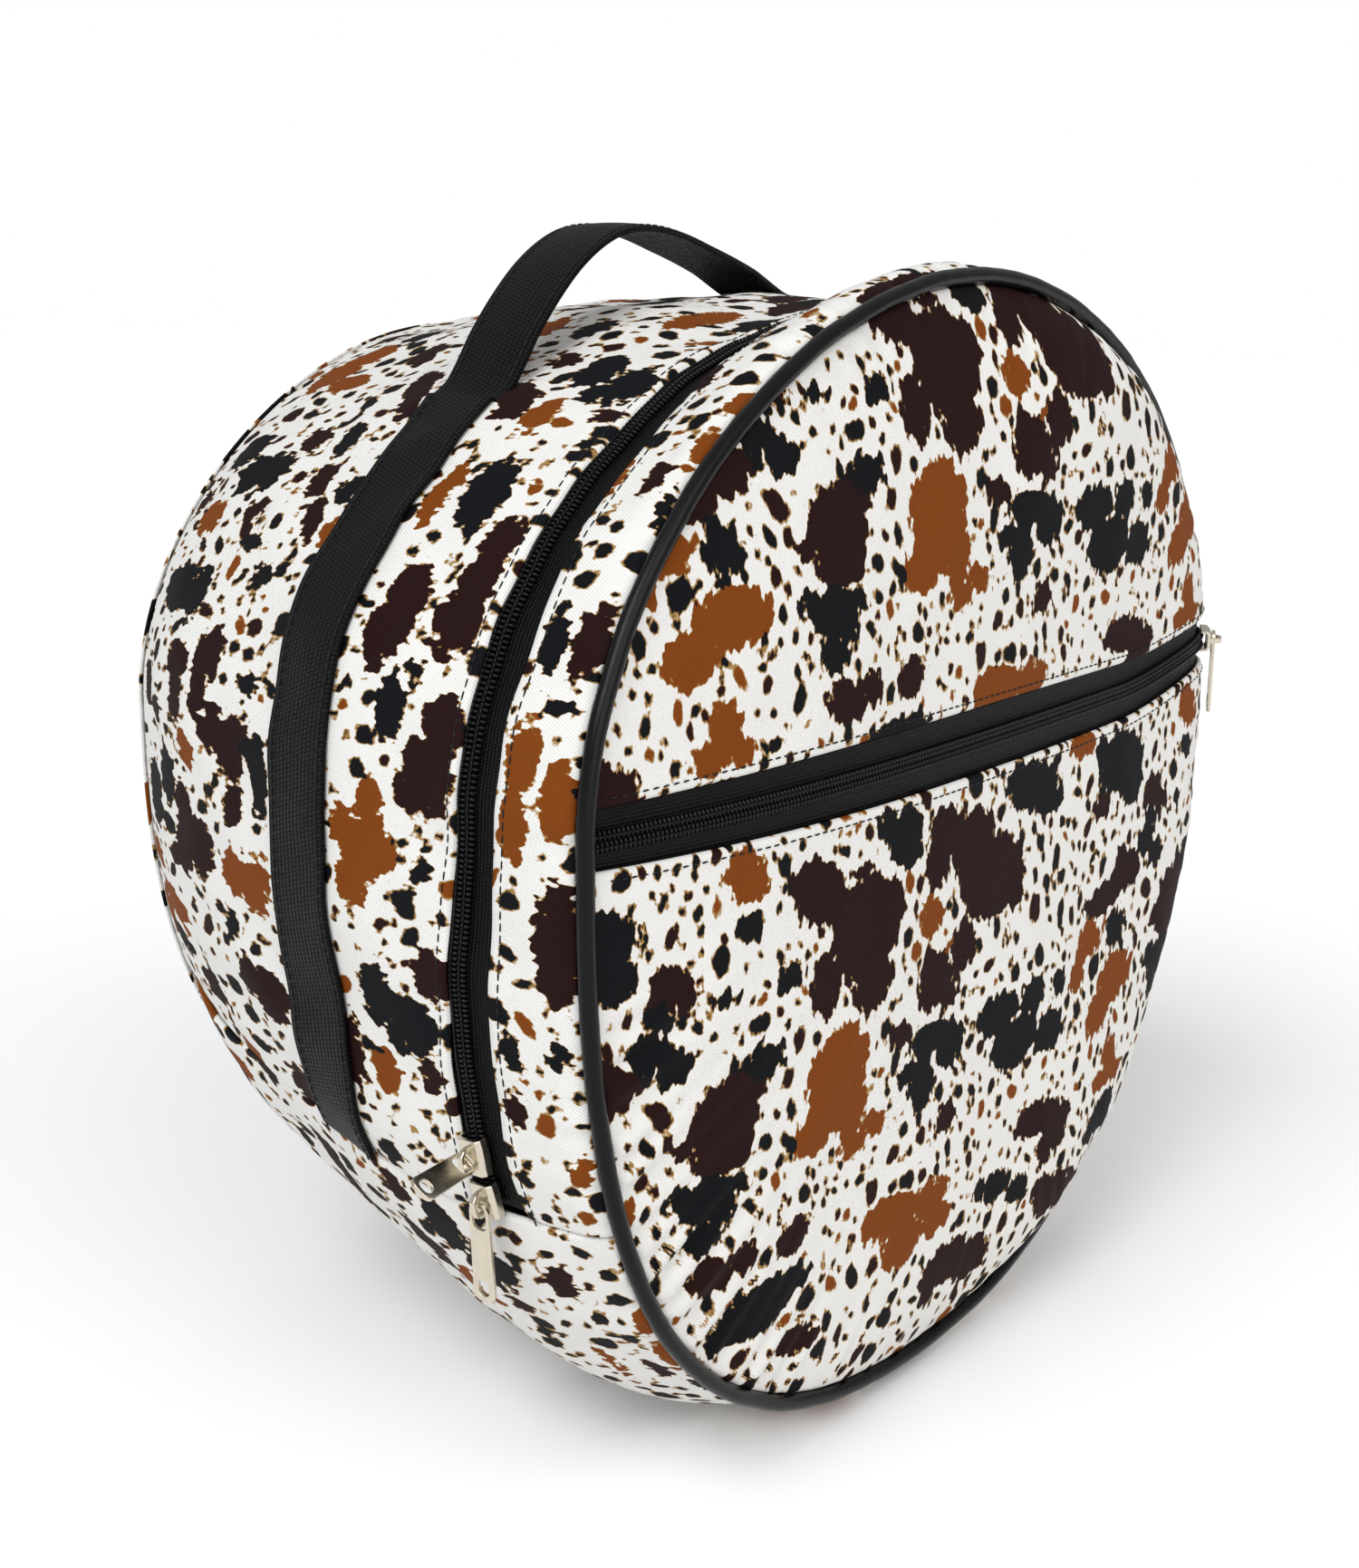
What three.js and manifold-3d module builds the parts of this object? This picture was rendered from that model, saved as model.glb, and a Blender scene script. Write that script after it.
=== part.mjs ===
// A round riding helmet bag of printed cloth, standing on its pressed-flat underside.
// Millimetres. x runs across the bag, depth runs from the front piping to the back, z is up
// and starts at the widest line of the front panel. The last lines stand the bag on z = 0.
import * as THREE from 'three';
import { mergeVertices } from 'three/addons/utils/BufferGeometryUtils.js';
import Module from 'manifold-3d';

const wasm = await Module();
wasm.setup();
const radians = THREE.MathUtils.degToRad;

// Front panel outline: an egg of two half superellipses that meet at the widest line.
const panelHalfWidth = 174;
const panelRise = 129;
const panelDrop = 201;
const riseRoundness = 1.87;
const dropRoundness = 2.53;

// Body.
const bagDepth = 208;
const clothWall = 3;
const padWall = 6;
const panelCrown = 15;
const crownFullness = 2.9;
const rollRise = 5;
const rollFall = 12;
const edgeGather = 0.5;
const sideSag = 7;
const sagStart = 5;
const lowSagShare = 1.33;
const sagLow = -120;
const sagHigh = -50;
const lowDraw = 0.03;
const lowDrawTurn = radians(154);
const lowDrawSpread = radians(18);
const backCrown = 9;
const seamTurn = 124.8;
const seamGap = 0.3;
const pipingRadius = 2.4;

// Underside, pressed flat where the bag stands.
const soleLevel = -206.5;
const soleHalfWidth = 34;
const soleFront = 8;
const soleBack = 92;
const soleBlend = 34;
const soleRearBlend = 62;

// Zips.
const coilWidth = 5.5;
const coilHeight = 2.2;
const tapeWall = 1.2;
const tapeSink = 1.5;
const doorDepth = 26;
const zipOpening = 13.8;
const sliderRoom = 2;
const zipDriftDepth = 6;
const zipDriftTurns = [radians(85), radians(113)];
const zipReturnDepth = 2;
const zipReturnTurns = [radians(110), radians(126)];
const pocketLine = -2.8;
const pocketClimb = 7.2;
const climbStart = 80;
const climbEnd = 165;
const pocketUpperLip = 10.6;
const pocketLowerLip = 9.4;
const pocketLipTaper = 0.24;

// Sliders and pull tabs.
const sliderLength = 11;
const sliderWall = 1.2;
const sliderFlange = 1.1;
const bridgeLength = 7.6;
const bridgeBar = 1.4;
const bridgeOpening = 2.4;
const tabLength = 29;
const tabWidth = 7.4;
const tabWall = 1.2;
const tabRail = 1.2;
const tabEyeLength = 6.4;
const tabSlotLength = 4.6;
const upperSliderTurn = -119.3;
const lowerSliderTurn = -123.2;
const pocketSliderAcross = panelHalfWidth * 0.905;
const upperTabSwivel = -44;
const upperTabSwing = 117;
const lowerTabSwivel = -2;
const lowerTabSwing = 13;
const pocketTabSlip = 1.7;

// Webbing.
const strapWidth = 25;
const strapWall = 1.8;
const strapDepth = 99;
const strapLift = 0.5;
const handleLeftTurn = -46;
const handleRightTurn = 19;
const handleRise = 35;
const handleRun = radians(4);
const strapEndGap = 1.5;

const cloth = { color: 0xe9e6e0, roughness: 0.62, metalness: 0 };
const vinyl = { color: 0x17181a, roughness: 0.3, metalness: 0 };
const webbing = { color: 0x121214, roughness: 0.85, metalness: 0 };
const zipTape = { color: 0x0e0e10, roughness: 0.9, metalness: 0 };
const zipCoil = { color: 0x151517, roughness: 0.45, metalness: 0 };
const nickel = { color: 0xbdb6a2, roughness: 0.3, metalness: 1 };

// Sections of the body as shares of the front outline, at shares of the bag's depth.
const bodySections = [
  { depth: 0, top: 1, side: 1, bottom: 1 },
  { depth: 0.05, top: 1.022, side: 1.015, bottom: 1.02 },
  { depth: 0.18, top: 0.935, side: 1.014, bottom: 1.055 },
  { depth: 0.41, top: 0.942, side: 1.004, bottom: 1.01 },
  { depth: 0.62, top: 0.917, side: 0.962, bottom: 0.928 },
  { depth: 0.86, top: 0.873, side: 0.872, bottom: 0.855 },
  { depth: 1, top: 0.843, side: 0.776, bottom: 0.79 },
];

// Round the rim of the front, by turns in degrees: how squarely its crown falls to the piping, and
// how far the padding rolls forward just inside it.
const rimSections = [
  { turn: -180, fullness: 7, roll: 2 },
  { turn: -150, fullness: 4.5, roll: 0 },
  { turn: -90, fullness: 2.9, roll: 0 },
  { turn: -10, fullness: 3.2, roll: 0 },
  { turn: 40, fullness: 9.5, roll: 10 },
  { turn: 65, fullness: 9.5, roll: 7 },
  { turn: 90, fullness: 9.5, roll: 8 },
  { turn: 110, fullness: 9.5, roll: 10 },
  { turn: 160, fullness: 9.5, roll: 10 },
  { turn: 180, fullness: 7, roll: 2 },
];

// The loop of the handle: how far it has come between its two ends, and its height above the
// straight line between them as a share of the handle's rise.
const handleLoop = [
  { along: 0.07, rise: 0.33 },
  { along: 0.2, rise: 0.78 },
  { along: 0.34, rise: 0.99 },
  { along: 0.49, rise: 0.92 },
  { along: 0.64, rise: 0.69 },
  { along: 0.81, rise: 0.38 },
  { along: 0.92, rise: 0.12 },
];

const lerp = THREE.MathUtils.lerp;
const smoothstep = THREE.MathUtils.smoothstep;
const group = new THREE.Group();

// The outline of the front is drawn in a little low on its right-hand side.
function outlineRadius(turn) {
  const away = Math.atan2(Math.sin(turn - lowDrawTurn), Math.cos(turn - lowDrawTurn)) / lowDrawSpread;
  const upwards = Math.cos(turn) >= 0;
  const height = upwards ? panelRise : panelDrop;
  const roundness = upwards ? riseRoundness : dropRoundness;
  const across = Math.abs(Math.sin(turn)) / panelHalfWidth;
  const up = Math.abs(Math.cos(turn)) / height;
  return (1 - lowDraw * Math.exp(-away * away)) * (across ** roundness + up ** roundness) ** (-1 / roundness);
}

// How far the soft right-hand side of the front hangs back.
function sagDepth(x, z) {
  const across = Math.max(x - sagStart, 0) / (panelHalfWidth - sagStart);
  return sideSag * across * across * lerp(lowSagShare, 1, smoothstep(z, sagLow, sagHigh));
}

// A smooth curve through one column of the body's sections.
function sectionShare(column, depthShare) {
  const rows = bodySections;
  const last = rows.length - 1;
  let row = 0;
  while (row < last - 1 && depthShare > rows[row + 1].depth) row += 1;
  const slope = (index) => {
    const before = rows[Math.max(index - 1, 0)];
    const after = rows[Math.min(index + 1, last)];
    return (after[column] - before[column]) / (after.depth - before.depth);
  };
  const from = rows[row];
  const to = rows[row + 1];
  const span = to.depth - from.depth;
  const t = (depthShare - from.depth) / span;
  const rest = 1 - t;
  return from[column] * (1 + 2 * t) * rest * rest + to[column] * t * t * (3 - 2 * t)
    + span * (slope(row) * t * rest * rest - slope(row + 1) * t * t * rest);
}

// The outer surface of the body where a turn from straight up meets a depth.
function skinPoint(turn, depth) {
  const up = Math.cos(turn);
  const share = depth / bagDepth;
  const side = sectionShare('side', share);
  const end = sectionShare(up >= 0 ? 'top' : 'bottom', share);
  const radius = outlineRadius(turn) * lerp(side, end, up * up);
  const x = radius * Math.sin(turn);
  const z = radius * up;
  const inWidth = 1 - smoothstep(Math.abs(x), soleHalfWidth, soleHalfWidth + soleBlend);
  const inDepth = smoothstep(depth, 0, soleFront)
    * (1 - smoothstep(depth, soleBack, soleBack + soleRearBlend));
  const underneath = up < 0 ? inWidth * inDepth : 0;
  const level = Math.max(lerp(z, soleLevel, underneath), soleLevel);
  return new THREE.Vector3(x, depth + sagDepth(x, z) * (1 - share), level);
}

// Directions on the skin: along the turn, and straight out within the section.
function skinFrame(turn, depth) {
  const step = radians(0.5);
  const along = skinPoint(turn + step, depth).sub(skinPoint(turn - step, depth)).normalize();
  return { along, out: new THREE.Vector3(-along.z, 0, along.x) };
}

function liftedSkin(turn, depth, lift) {
  return skinPoint(turn, depth).addScaledVector(skinFrame(turn, depth).out, lift);
}

// Shares of a length that stand closer together towards both ends.
function gatheredStops(steps) {
  return stops(0, 1, steps).map((share) => share - edgeGather * Math.sin(2 * Math.PI * share) / (2 * Math.PI));
}

// Counts from first to last in equal steps.
function stops(first, last, steps) {
  return Array.from({ length: steps + 1 }, (_, index) => lerp(first, last, index / steps));
}

function signedVolume(points, faces) {
  let total = 0;
  for (const [a, b, c] of faces) {
    total += points[a].dot(new THREE.Vector3().crossVectors(points[b], points[c])) / 6;
  }
  return total;
}

function closedGeometry(points, faces) {
  const outward = signedVolume(points, faces) > 0;
  const index = faces.flatMap(([a, b, c]) => (outward ? [a, b, c] : [a, c, b]));
  const geometry = new THREE.BufferGeometry().setFromPoints(points);
  geometry.setIndex(index);
  geometry.computeVertexNormals();
  return geometry;
}

// A wall between two grids of points, closed round its four edges.
function wallBetween(outer, inner) {
  const rows = outer.length;
  const columns = outer[0].length;
  const points = [...outer.flat(), ...inner.flat()];
  const at = (side, row, column) => side * rows * columns + row * columns + column;
  const faces = [];
  const quad = (a, b, c, d) => faces.push([a, b, c], [a, c, d]);
  for (let row = 0; row < rows - 1; row += 1) {
    for (let column = 0; column < columns - 1; column += 1) {
      quad(at(0, row, column), at(0, row, column + 1), at(0, row + 1, column + 1), at(0, row + 1, column));
      quad(at(1, row, column), at(1, row + 1, column), at(1, row + 1, column + 1), at(1, row, column + 1));
    }
    const end = columns - 1;
    quad(at(0, row, 0), at(0, row + 1, 0), at(1, row + 1, 0), at(1, row, 0));
    quad(at(0, row + 1, end), at(0, row, end), at(1, row, end), at(1, row + 1, end));
  }
  for (let column = 0; column < columns - 1; column += 1) {
    const end = rows - 1;
    quad(at(0, 0, column + 1), at(0, 0, column), at(1, 0, column), at(1, 0, column + 1));
    quad(at(0, end, column), at(0, end, column + 1), at(1, end, column + 1), at(1, end, column));
  }
  return closedGeometry(points, faces);
}

// A bar of equal rings of points, closed by a flat end on its first and last ring.
function barOfRings(rings) {
  const size = rings[0].length;
  const faces = [];
  for (let ring = 0; ring < rings.length - 1; ring += 1) {
    for (let index = 0; index < size; index += 1) {
      const next = (index + 1) % size;
      const a = ring * size + index;
      const b = ring * size + next;
      faces.push([a, b, b + size], [a, b + size, a + size]);
    }
  }
  const lastRing = (rings.length - 1) * size;
  for (let index = 1; index < size - 1; index += 1) {
    faces.push([0, index + 1, index], [lastRing, lastRing + index, lastRing + index + 1]);
  }
  return closedGeometry(rings.flat(), faces);
}

function toSolid(geometry) {
  const bare = geometry.clone();
  bare.deleteAttribute('normal');
  bare.deleteAttribute('uv');
  const merged = mergeVertices(bare, 1e-5);
  const vertProperties = new Float32Array(merged.attributes.position.array);
  const triVerts = new Uint32Array(merged.index.array);
  return new wasm.Manifold(new wasm.Mesh({ numProp: 3, vertProperties, triVerts }));
}

function toGeometry(solid) {
  const mesh = solid.getMesh();
  const geometry = new THREE.BufferGeometry();
  geometry.setAttribute('position', new THREE.BufferAttribute(mesh.vertProperties, 3));
  geometry.setIndex(new THREE.BufferAttribute(mesh.triVerts, 1));
  geometry.computeVertexNormals();
  return geometry;
}

function addPiece(name, geometry, finish) {
  const mesh = new THREE.Mesh(geometry, new THREE.MeshStandardMaterial(finish));
  mesh.name = name;
  group.add(mesh);
  return mesh;
}

// A strip of the body between two turns. Each depth is a function of the turn.
function bodyStrip(turns, depths, lift, wall) {
  const grid = (height) => turns.map((turn) => depths.map((depth) => liftedSkin(turn, depth(turn), height)));
  return wallBetween(grid(lift), grid(lift - wall));
}

const fixed = (depth) => () => depth;
const seamAngle = radians(seamTurn);
const seamGapAngle = seamGap / panelDrop;
const upperTurns = stops(-seamAngle, seamAngle, 46);
const bottomTurns = stops(seamAngle + seamGapAngle, 2 * Math.PI - seamAngle - seamGapAngle, 30);
const behindPiping = pipingRadius + seamGap;

// The main zip drifts backwards low on the left, and comes forward again to its end.
function zipDrift(turn) {
  const backwards = smoothstep(-turn, zipDriftTurns[0], zipDriftTurns[1]);
  const forwards = smoothstep(-turn, zipReturnTurns[0], zipReturnTurns[1]);
  return zipDriftDepth * backwards - zipReturnDepth * forwards;
}

const doorFold = (turn) => doorDepth + zipDrift(turn);
const coilLine = (turn) => doorFold(turn) + zipOpening - seamGap - coilWidth / 2;

// The rear fold of the main zip gives way a little beside the two sliders.
function rearFold(turn) {
  const firstTurn = radians(upperSliderTurn + 14);
  const atSliders = smoothstep(-turn, -firstTurn, -radians(upperSliderTurn + 4));
  return doorFold(turn) + zipOpening + sliderRoom * atSliders;
}

function addBodyPanels() {
  const doorDepths = stops(0, 1, 3).map((share) => (turn) => lerp(behindPiping, doorFold(turn), share));
  addPiece('door_gusset', bodyStrip(upperTurns, doorDepths, 0, clothWall), cloth);
  const bodyDepths = stops(0, 1, 8).map((share) => (turn) => lerp(rearFold(turn), bagDepth, share));
  addPiece('body_gusset', bodyStrip(upperTurns, bodyDepths, 0, clothWall), cloth);
  const soleDepths = [...stops(behindPiping, soleFront, 1), ...stops(soleFront, soleBack, 4).slice(1)];
  const bottomDepths = [...soleDepths, ...stops(soleBack, bagDepth, 5).slice(1)].map(fixed);
  addPiece('bottom_panel', bodyStrip(bottomTurns, bottomDepths, 0, clothWall), cloth);
}

// The back is a shallow dome whose thin rim lies against the rear edge of the body.
function addBackPanel() {
  const turns = stops(0, 2 * Math.PI, 60).slice(0, -1);
  const shares = [0.35, 0.65, 0.85, 0.96, 1];
  const front = bagDepth + seamGap;
  const dome = (share) => backCrown * (1 - share ** crownFullness);
  const rim = clothWall * 0.4;
  const wallAt = (share) => lerp(clothWall, rim, smoothstep(share, 0.9, 1));
  const points = [new THREE.Vector3(0, front + dome(0), 0), new THREE.Vector3(0, front + dome(0) + clothWall, 0)];
  for (const wall of [() => 0, wallAt]) {
    for (const share of shares) {
      for (const turn of turns) {
        const point = skinPoint(turn, bagDepth).multiplyScalar(share);
        point.y = front + dome(share) + wall(share);
        points.push(point);
      }
    }
  }
  const count = turns.length;
  const at = (side, ring, index) => 2 + (side * shares.length + ring) * count + (index % count);
  const faces = [];
  const lastRing = shares.length - 1;
  for (let index = 0; index < count; index += 1) {
    faces.push([0, at(0, 0, index), at(0, 0, index + 1)], [1, at(1, 0, index + 1), at(1, 0, index)]);
    for (let ring = 0; ring < lastRing; ring += 1) {
      faces.push([at(0, ring, index), at(0, ring + 1, index), at(0, ring + 1, index + 1)]);
      faces.push([at(0, ring, index), at(0, ring + 1, index + 1), at(0, ring, index + 1)]);
      faces.push([at(1, ring, index), at(1, ring + 1, index + 1), at(1, ring + 1, index)]);
      faces.push([at(1, ring, index), at(1, ring, index + 1), at(1, ring + 1, index + 1)]);
    }
    faces.push([at(0, lastRing, index), at(1, lastRing, index), at(1, lastRing, index + 1)]);
    faces.push([at(0, lastRing, index), at(1, lastRing, index + 1), at(0, lastRing, index + 1)]);
  }
  addPiece('back_panel', closedGeometry(points, faces), cloth);
}

function addPiping() {
  const corners = stops(0, 2 * Math.PI, 84).slice(0, -1).map((turn) => {
    const radius = outlineRadius(turn);
    const x = radius * Math.sin(turn);
    const z = radius * Math.cos(turn);
    return new THREE.Vector3(x, sagDepth(x, z), z);
  });
  const path = new THREE.CatmullRomCurve3(corners, true);
  const tube = new THREE.TubeGeometry(path, 84, pipingRadius, 8, true);
  tube.deleteAttribute('normal');
  tube.deleteAttribute('uv');
  addPiece('front_piping', mergeVertices(tube, 1e-4), vinyl);
}

// The front panel's edge lies just inside the piping, measured square to it.
function panelEdge(turn) {
  const step = radians(0.5);
  const radius = outlineRadius(turn);
  const slope = (outlineRadius(turn + step) - outlineRadius(turn - step)) / (2 * step);
  return radius - behindPiping * Math.hypot(1, slope / radius);
}

function rimShape(column, turn) {
  const degrees = THREE.MathUtils.radToDeg(turn);
  let row = 0;
  while (row < rimSections.length - 2 && degrees > rimSections[row + 1].turn) row += 1;
  const from = rimSections[row];
  const to = rimSections[row + 1];
  return lerp(from[column], to[column], smoothstep(degrees, from.turn, to.turn));
}

// How deep the crowned and rolled front lies, from the plane of the left-hand piping.
function crownDepth(x, z) {
  const turn = Math.atan2(x, z);
  const share = Math.min(Math.hypot(x, z) / panelEdge(turn), 1);
  const crown = panelCrown * (1 - share ** rimShape('fullness', turn));
  const roll = rimShape('roll', turn) * share ** rollRise * (1 - share ** rollFall);
  return sagDepth(x, z) - crown - roll;
}

function padThickness(x, z) {
  const share = Math.min(Math.hypot(x, z) / panelEdge(Math.atan2(x, z)), 1);
  return lerp(padWall, pipingRadius, smoothstep(share, 0.8, 1));
}

// The turn at which the panel's edge reaches a height, on the right-hand side.
function edgeTurnAt(height) {
  let low = 0;
  let high = Math.PI;
  for (let step = 0; step < 40; step += 1) {
    const middle = (low + high) / 2;
    if (panelEdge(middle) * Math.cos(middle) > height) low = middle;
    else high = middle;
  }
  return low;
}

function edgePoint(turn) {
  const radius = panelEdge(turn);
  return new THREE.Vector2(radius * Math.sin(turn), radius * Math.cos(turn));
}

// Points of a four-sided field, worked out from its four edges.
function fieldPoint(edges, u, v) {
  const { bottom, top, left, right } = edges;
  const blend = (axis) => {
    const sides = lerp(bottom(u)[axis], top(u)[axis], v) + lerp(left(v)[axis], right(v)[axis], u);
    const low = lerp(bottom(0)[axis], bottom(1)[axis], u);
    const high = lerp(top(0)[axis], top(1)[axis], u);
    return sides - lerp(low, high, v);
  };
  return new THREE.Vector2(blend('x'), blend('y'));
}

// The zip of the pocket climbs a little towards its right-hand end.
const pocketHeight = (x) => pocketLine + pocketClimb * smoothstep(x, climbStart, climbEnd);

// The lips of the pocket zip draw a little closer together towards both ends.
function lipHeight(lip, x) {
  const across = x / panelHalfWidth;
  return pocketHeight(x) + lip * (1 - pocketLipTaper * across * across);
}

// The turns at which a lip of the pocket zip meets the edge of the panel, left and right.
function lipTurns(lip) {
  const reach = panelEdge(Math.PI / 2);
  return [edgeTurnAt(lipHeight(lip, -reach)), edgeTurnAt(lipHeight(lip, reach))];
}

function addFrontPanel(name, lip, cornerTurn) {
  const [leftTurn, rightTurn] = lipTurns(lip);
  const zipSide = (u) => {
    const x = lerp(edgePoint(-leftTurn).x, edgePoint(rightTurn).x, u);
    return new THREE.Vector2(x, lipHeight(lip, x));
  };
  const side = (endTurn, sign) => (v) => edgePoint(sign * lerp(endTurn, cornerTurn, v));
  const farTurn = lip > 0 ? cornerTurn : cornerTurn - 2 * Math.PI;
  const farSide = (u) => edgePoint(lerp(-cornerTurn, farTurn, u));
  const edges = { bottom: zipSide, top: farSide, left: side(leftTurn, -1), right: side(rightTurn, 1) };
  const shares = gatheredStops(20);
  const rises = gatheredStops(11);
  const flat = shares.map((u) => rises.map((v) => fieldPoint(edges, u, v)));
  const outer = flat.map((line) => line.map((p) => new THREE.Vector3(p.x, crownDepth(p.x, p.y), p.y)));
  const inner = flat.map((line) => line.map((p) => (
    new THREE.Vector3(p.x, crownDepth(p.x, p.y) + padThickness(p.x, p.y), p.y))));
  addPiece(name, wallBetween(outer, inner), cloth);
}

function addPocketZip() {
  const [leftTurn, rightTurn] = lipTurns(pocketUpperLip);
  const ends = [edgePoint(-leftTurn).x + seamGap, edgePoint(rightTurn).x - seamGap];
  const across = gatheredStops(30).map((share) => lerp(...ends, share));
  const point = (x, z, sink) => new THREE.Vector3(x, crownDepth(x, z) + sink, z);
  const band = (x) => stops(lipHeight(-pocketLowerLip, x) + seamGap, lipHeight(pocketUpperLip, x) - seamGap, 3);
  const grid = (sink) => across.map((x) => band(x).map((z) => point(x, z, sink)));
  addPiece('pocket_zip_tape', wallBetween(grid(tapeSink), grid(tapeSink + tapeWall)), zipTape);
  const base = tapeSink - seamGap;
  const rings = across.map((x) => coilSection().map(([side, height]) => (
    new THREE.Vector3(x, crownDepth(x, pocketHeight(x)) + base - height, pocketHeight(x) + side))));
  addPiece('pocket_zip_coil', barOfRings(rings), zipCoil);
}

// Half-round section of a closed coil: across the zip, and up from the tape.
function coilSection() {
  return stops(0, Math.PI, 5).map((angle) => [
    -Math.cos(angle) * coilWidth / 2,
    Math.sin(angle) * coilHeight,
  ]);
}

function addMainZip() {
  const tapeTurns = stops(-seamAngle + seamGapAngle, seamAngle - seamGapAngle, 46);
  const tapeDepths = [(turn) => doorFold(turn) + seamGap, (turn) => lerp(doorFold(turn), rearFold(turn), 0.5),
    (turn) => rearFold(turn) - seamGap];
  addPiece('main_zip_tape', bodyStrip(tapeTurns, tapeDepths, -tapeSink, tapeWall), zipTape);
  const rings = tapeTurns.map((turn) => coilSection().map(([side, height]) => (
    liftedSkin(turn, coilLine(turn) + side, seamGap - tapeSink + height))));
  addPiece('main_zip_coil', barOfRings(rings), zipCoil);
}

// An outline in a slider's own frame, extruded along one of its axes, as a solid.
function extrudedSolid(corners, depth, basis) {
  const outline = new THREE.Shape(corners.map(([a, b]) => new THREE.Vector2(a, b)));
  const geometry = new THREE.ExtrudeGeometry(outline, { depth, bevelEnabled: false });
  geometry.translate(0, 0, -depth / 2);
  geometry.applyMatrix4(basis);
  return toSolid(geometry);
}

const axisX = new THREE.Vector3(1, 0, 0);
const axisY = new THREE.Vector3(0, 1, 0);
const axisZ = new THREE.Vector3(0, 0, 1);
const sliderTop = coilHeight + seamGap + sliderWall;
const pivotHeight = sliderTop + bridgeOpening / 2;

// A slider in its own frame: x across the zip, y along it, z out from the tape.
function sliderGeometry() {
  const innerHalf = coilWidth / 2 + seamGap;
  const outerHalf = innerHalf + sliderFlange;
  const shoulder = 0.65;
  const alongZip = new THREE.Matrix4().makeBasis(axisX, axisZ, axisY.clone().negate());
  const shell = extrudedSolid([[-outerHalf, 0], [outerHalf, 0], [outerHalf, sliderTop * shoulder],
    [outerHalf * shoulder, sliderTop], [-outerHalf * shoulder, sliderTop],
    [-outerHalf, sliderTop * shoulder]], sliderLength, alongZip);
  const channelTop = sliderTop - sliderWall;
  const channel = extrudedSolid([[-innerHalf, -1], [innerHalf, -1], [innerHalf, channelTop * shoulder],
    [innerHalf * shoulder, channelTop], [-innerHalf * shoulder, channelTop],
    [-innerHalf, channelTop * shoulder]], sliderLength + 2, alongZip);
  const acrossZip = new THREE.Matrix4().makeBasis(axisY, axisZ, axisX);
  const half = bridgeLength / 2;
  const foot = sliderTop - sliderWall / 2;
  const rise = sliderTop + bridgeOpening;
  const crown = rise + bridgeBar;
  const bridge = extrudedSolid([[-half, foot], [-half + bridgeBar, foot], [-half + bridgeBar, rise],
    [half - bridgeBar, rise], [half - bridgeBar, foot], [half, foot], [half, rise],
    [half - bridgeBar, crown], [-half + bridgeBar, crown], [-half, rise]], bridgeBar, acrossZip);
  return toGeometry(shell.subtract(channel).add(bridge));
}

function roundedOutline(halfWidth, low, high, roundness, path) {
  path.moveTo(-halfWidth + roundness, low);
  path.lineTo(halfWidth - roundness, low);
  path.quadraticCurveTo(halfWidth, low, halfWidth, low + roundness);
  path.lineTo(halfWidth, high - roundness);
  path.quadraticCurveTo(halfWidth, high, halfWidth - roundness, high);
  path.lineTo(-halfWidth + roundness, high);
  path.quadraticCurveTo(-halfWidth, high, -halfWidth, high - roundness);
  path.lineTo(-halfWidth, low + roundness);
  path.quadraticCurveTo(-halfWidth, low, -halfWidth + roundness, low);
  return path;
}

// A pull tab in its own frame: its bar lies along x through the origin, its plate towards -y.
function tabGeometry() {
  const half = tabWidth / 2;
  const near = tabRail / 2;
  const far = near - tabLength;
  const outline = roundedOutline(half, far, near, half * 0.6, new THREE.Shape());
  const eyeHalf = half - tabRail;
  outline.holes.push(roundedOutline(eyeHalf, -near - tabEyeLength, -near, eyeHalf * 0.4, new THREE.Path()));
  const slotLow = far + tabRail;
  outline.holes.push(roundedOutline(eyeHalf * 0.8, slotLow, slotLow + tabSlotLength, eyeHalf * 0.6,
    new THREE.Path()));
  const tab = new THREE.ExtrudeGeometry(outline, { depth: tabWall, bevelEnabled: false, curveSegments: 3 });
  tab.translate(0, 0, -tabWall / 2);
  return toGeometry(toSolid(tab));
}

// Where a slider sits on the main zip: y up along the zip, z out of the bag.
function mainZipSeat(turnDegrees) {
  const turn = radians(turnDegrees);
  const step = radians(0.5);
  const onLine = (at) => skinPoint(at, coilLine(at));
  const along = onLine(turn + step).sub(onLine(turn - step)).normalize();
  const across = new THREE.Vector3().crossVectors(along, skinFrame(turn, coilLine(turn)).out).normalize();
  const out = new THREE.Vector3().crossVectors(across, along);
  return new THREE.Matrix4().makeBasis(across, along, out)
    .setPosition(onLine(turn).addScaledVector(out, seamGap - tapeSink));
}

// Where the slider sits on the pocket zip: y along the zip to the right, z out of the bag.
function pocketSeat(x) {
  const step = 0.5;
  const onLine = (across) => (
    new THREE.Vector3(across, crownDepth(across, pocketHeight(across)), pocketHeight(across)));
  const along = onLine(x + step).sub(onLine(x - step)).normalize();
  const out = new THREE.Vector3().crossVectors(new THREE.Vector3(0, 0, -1), along).normalize();
  const across = new THREE.Vector3().crossVectors(along, out);
  return new THREE.Matrix4().makeBasis(across, along, out)
    .setPosition(onLine(x).addScaledVector(out, seamGap - tapeSink));
}

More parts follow.
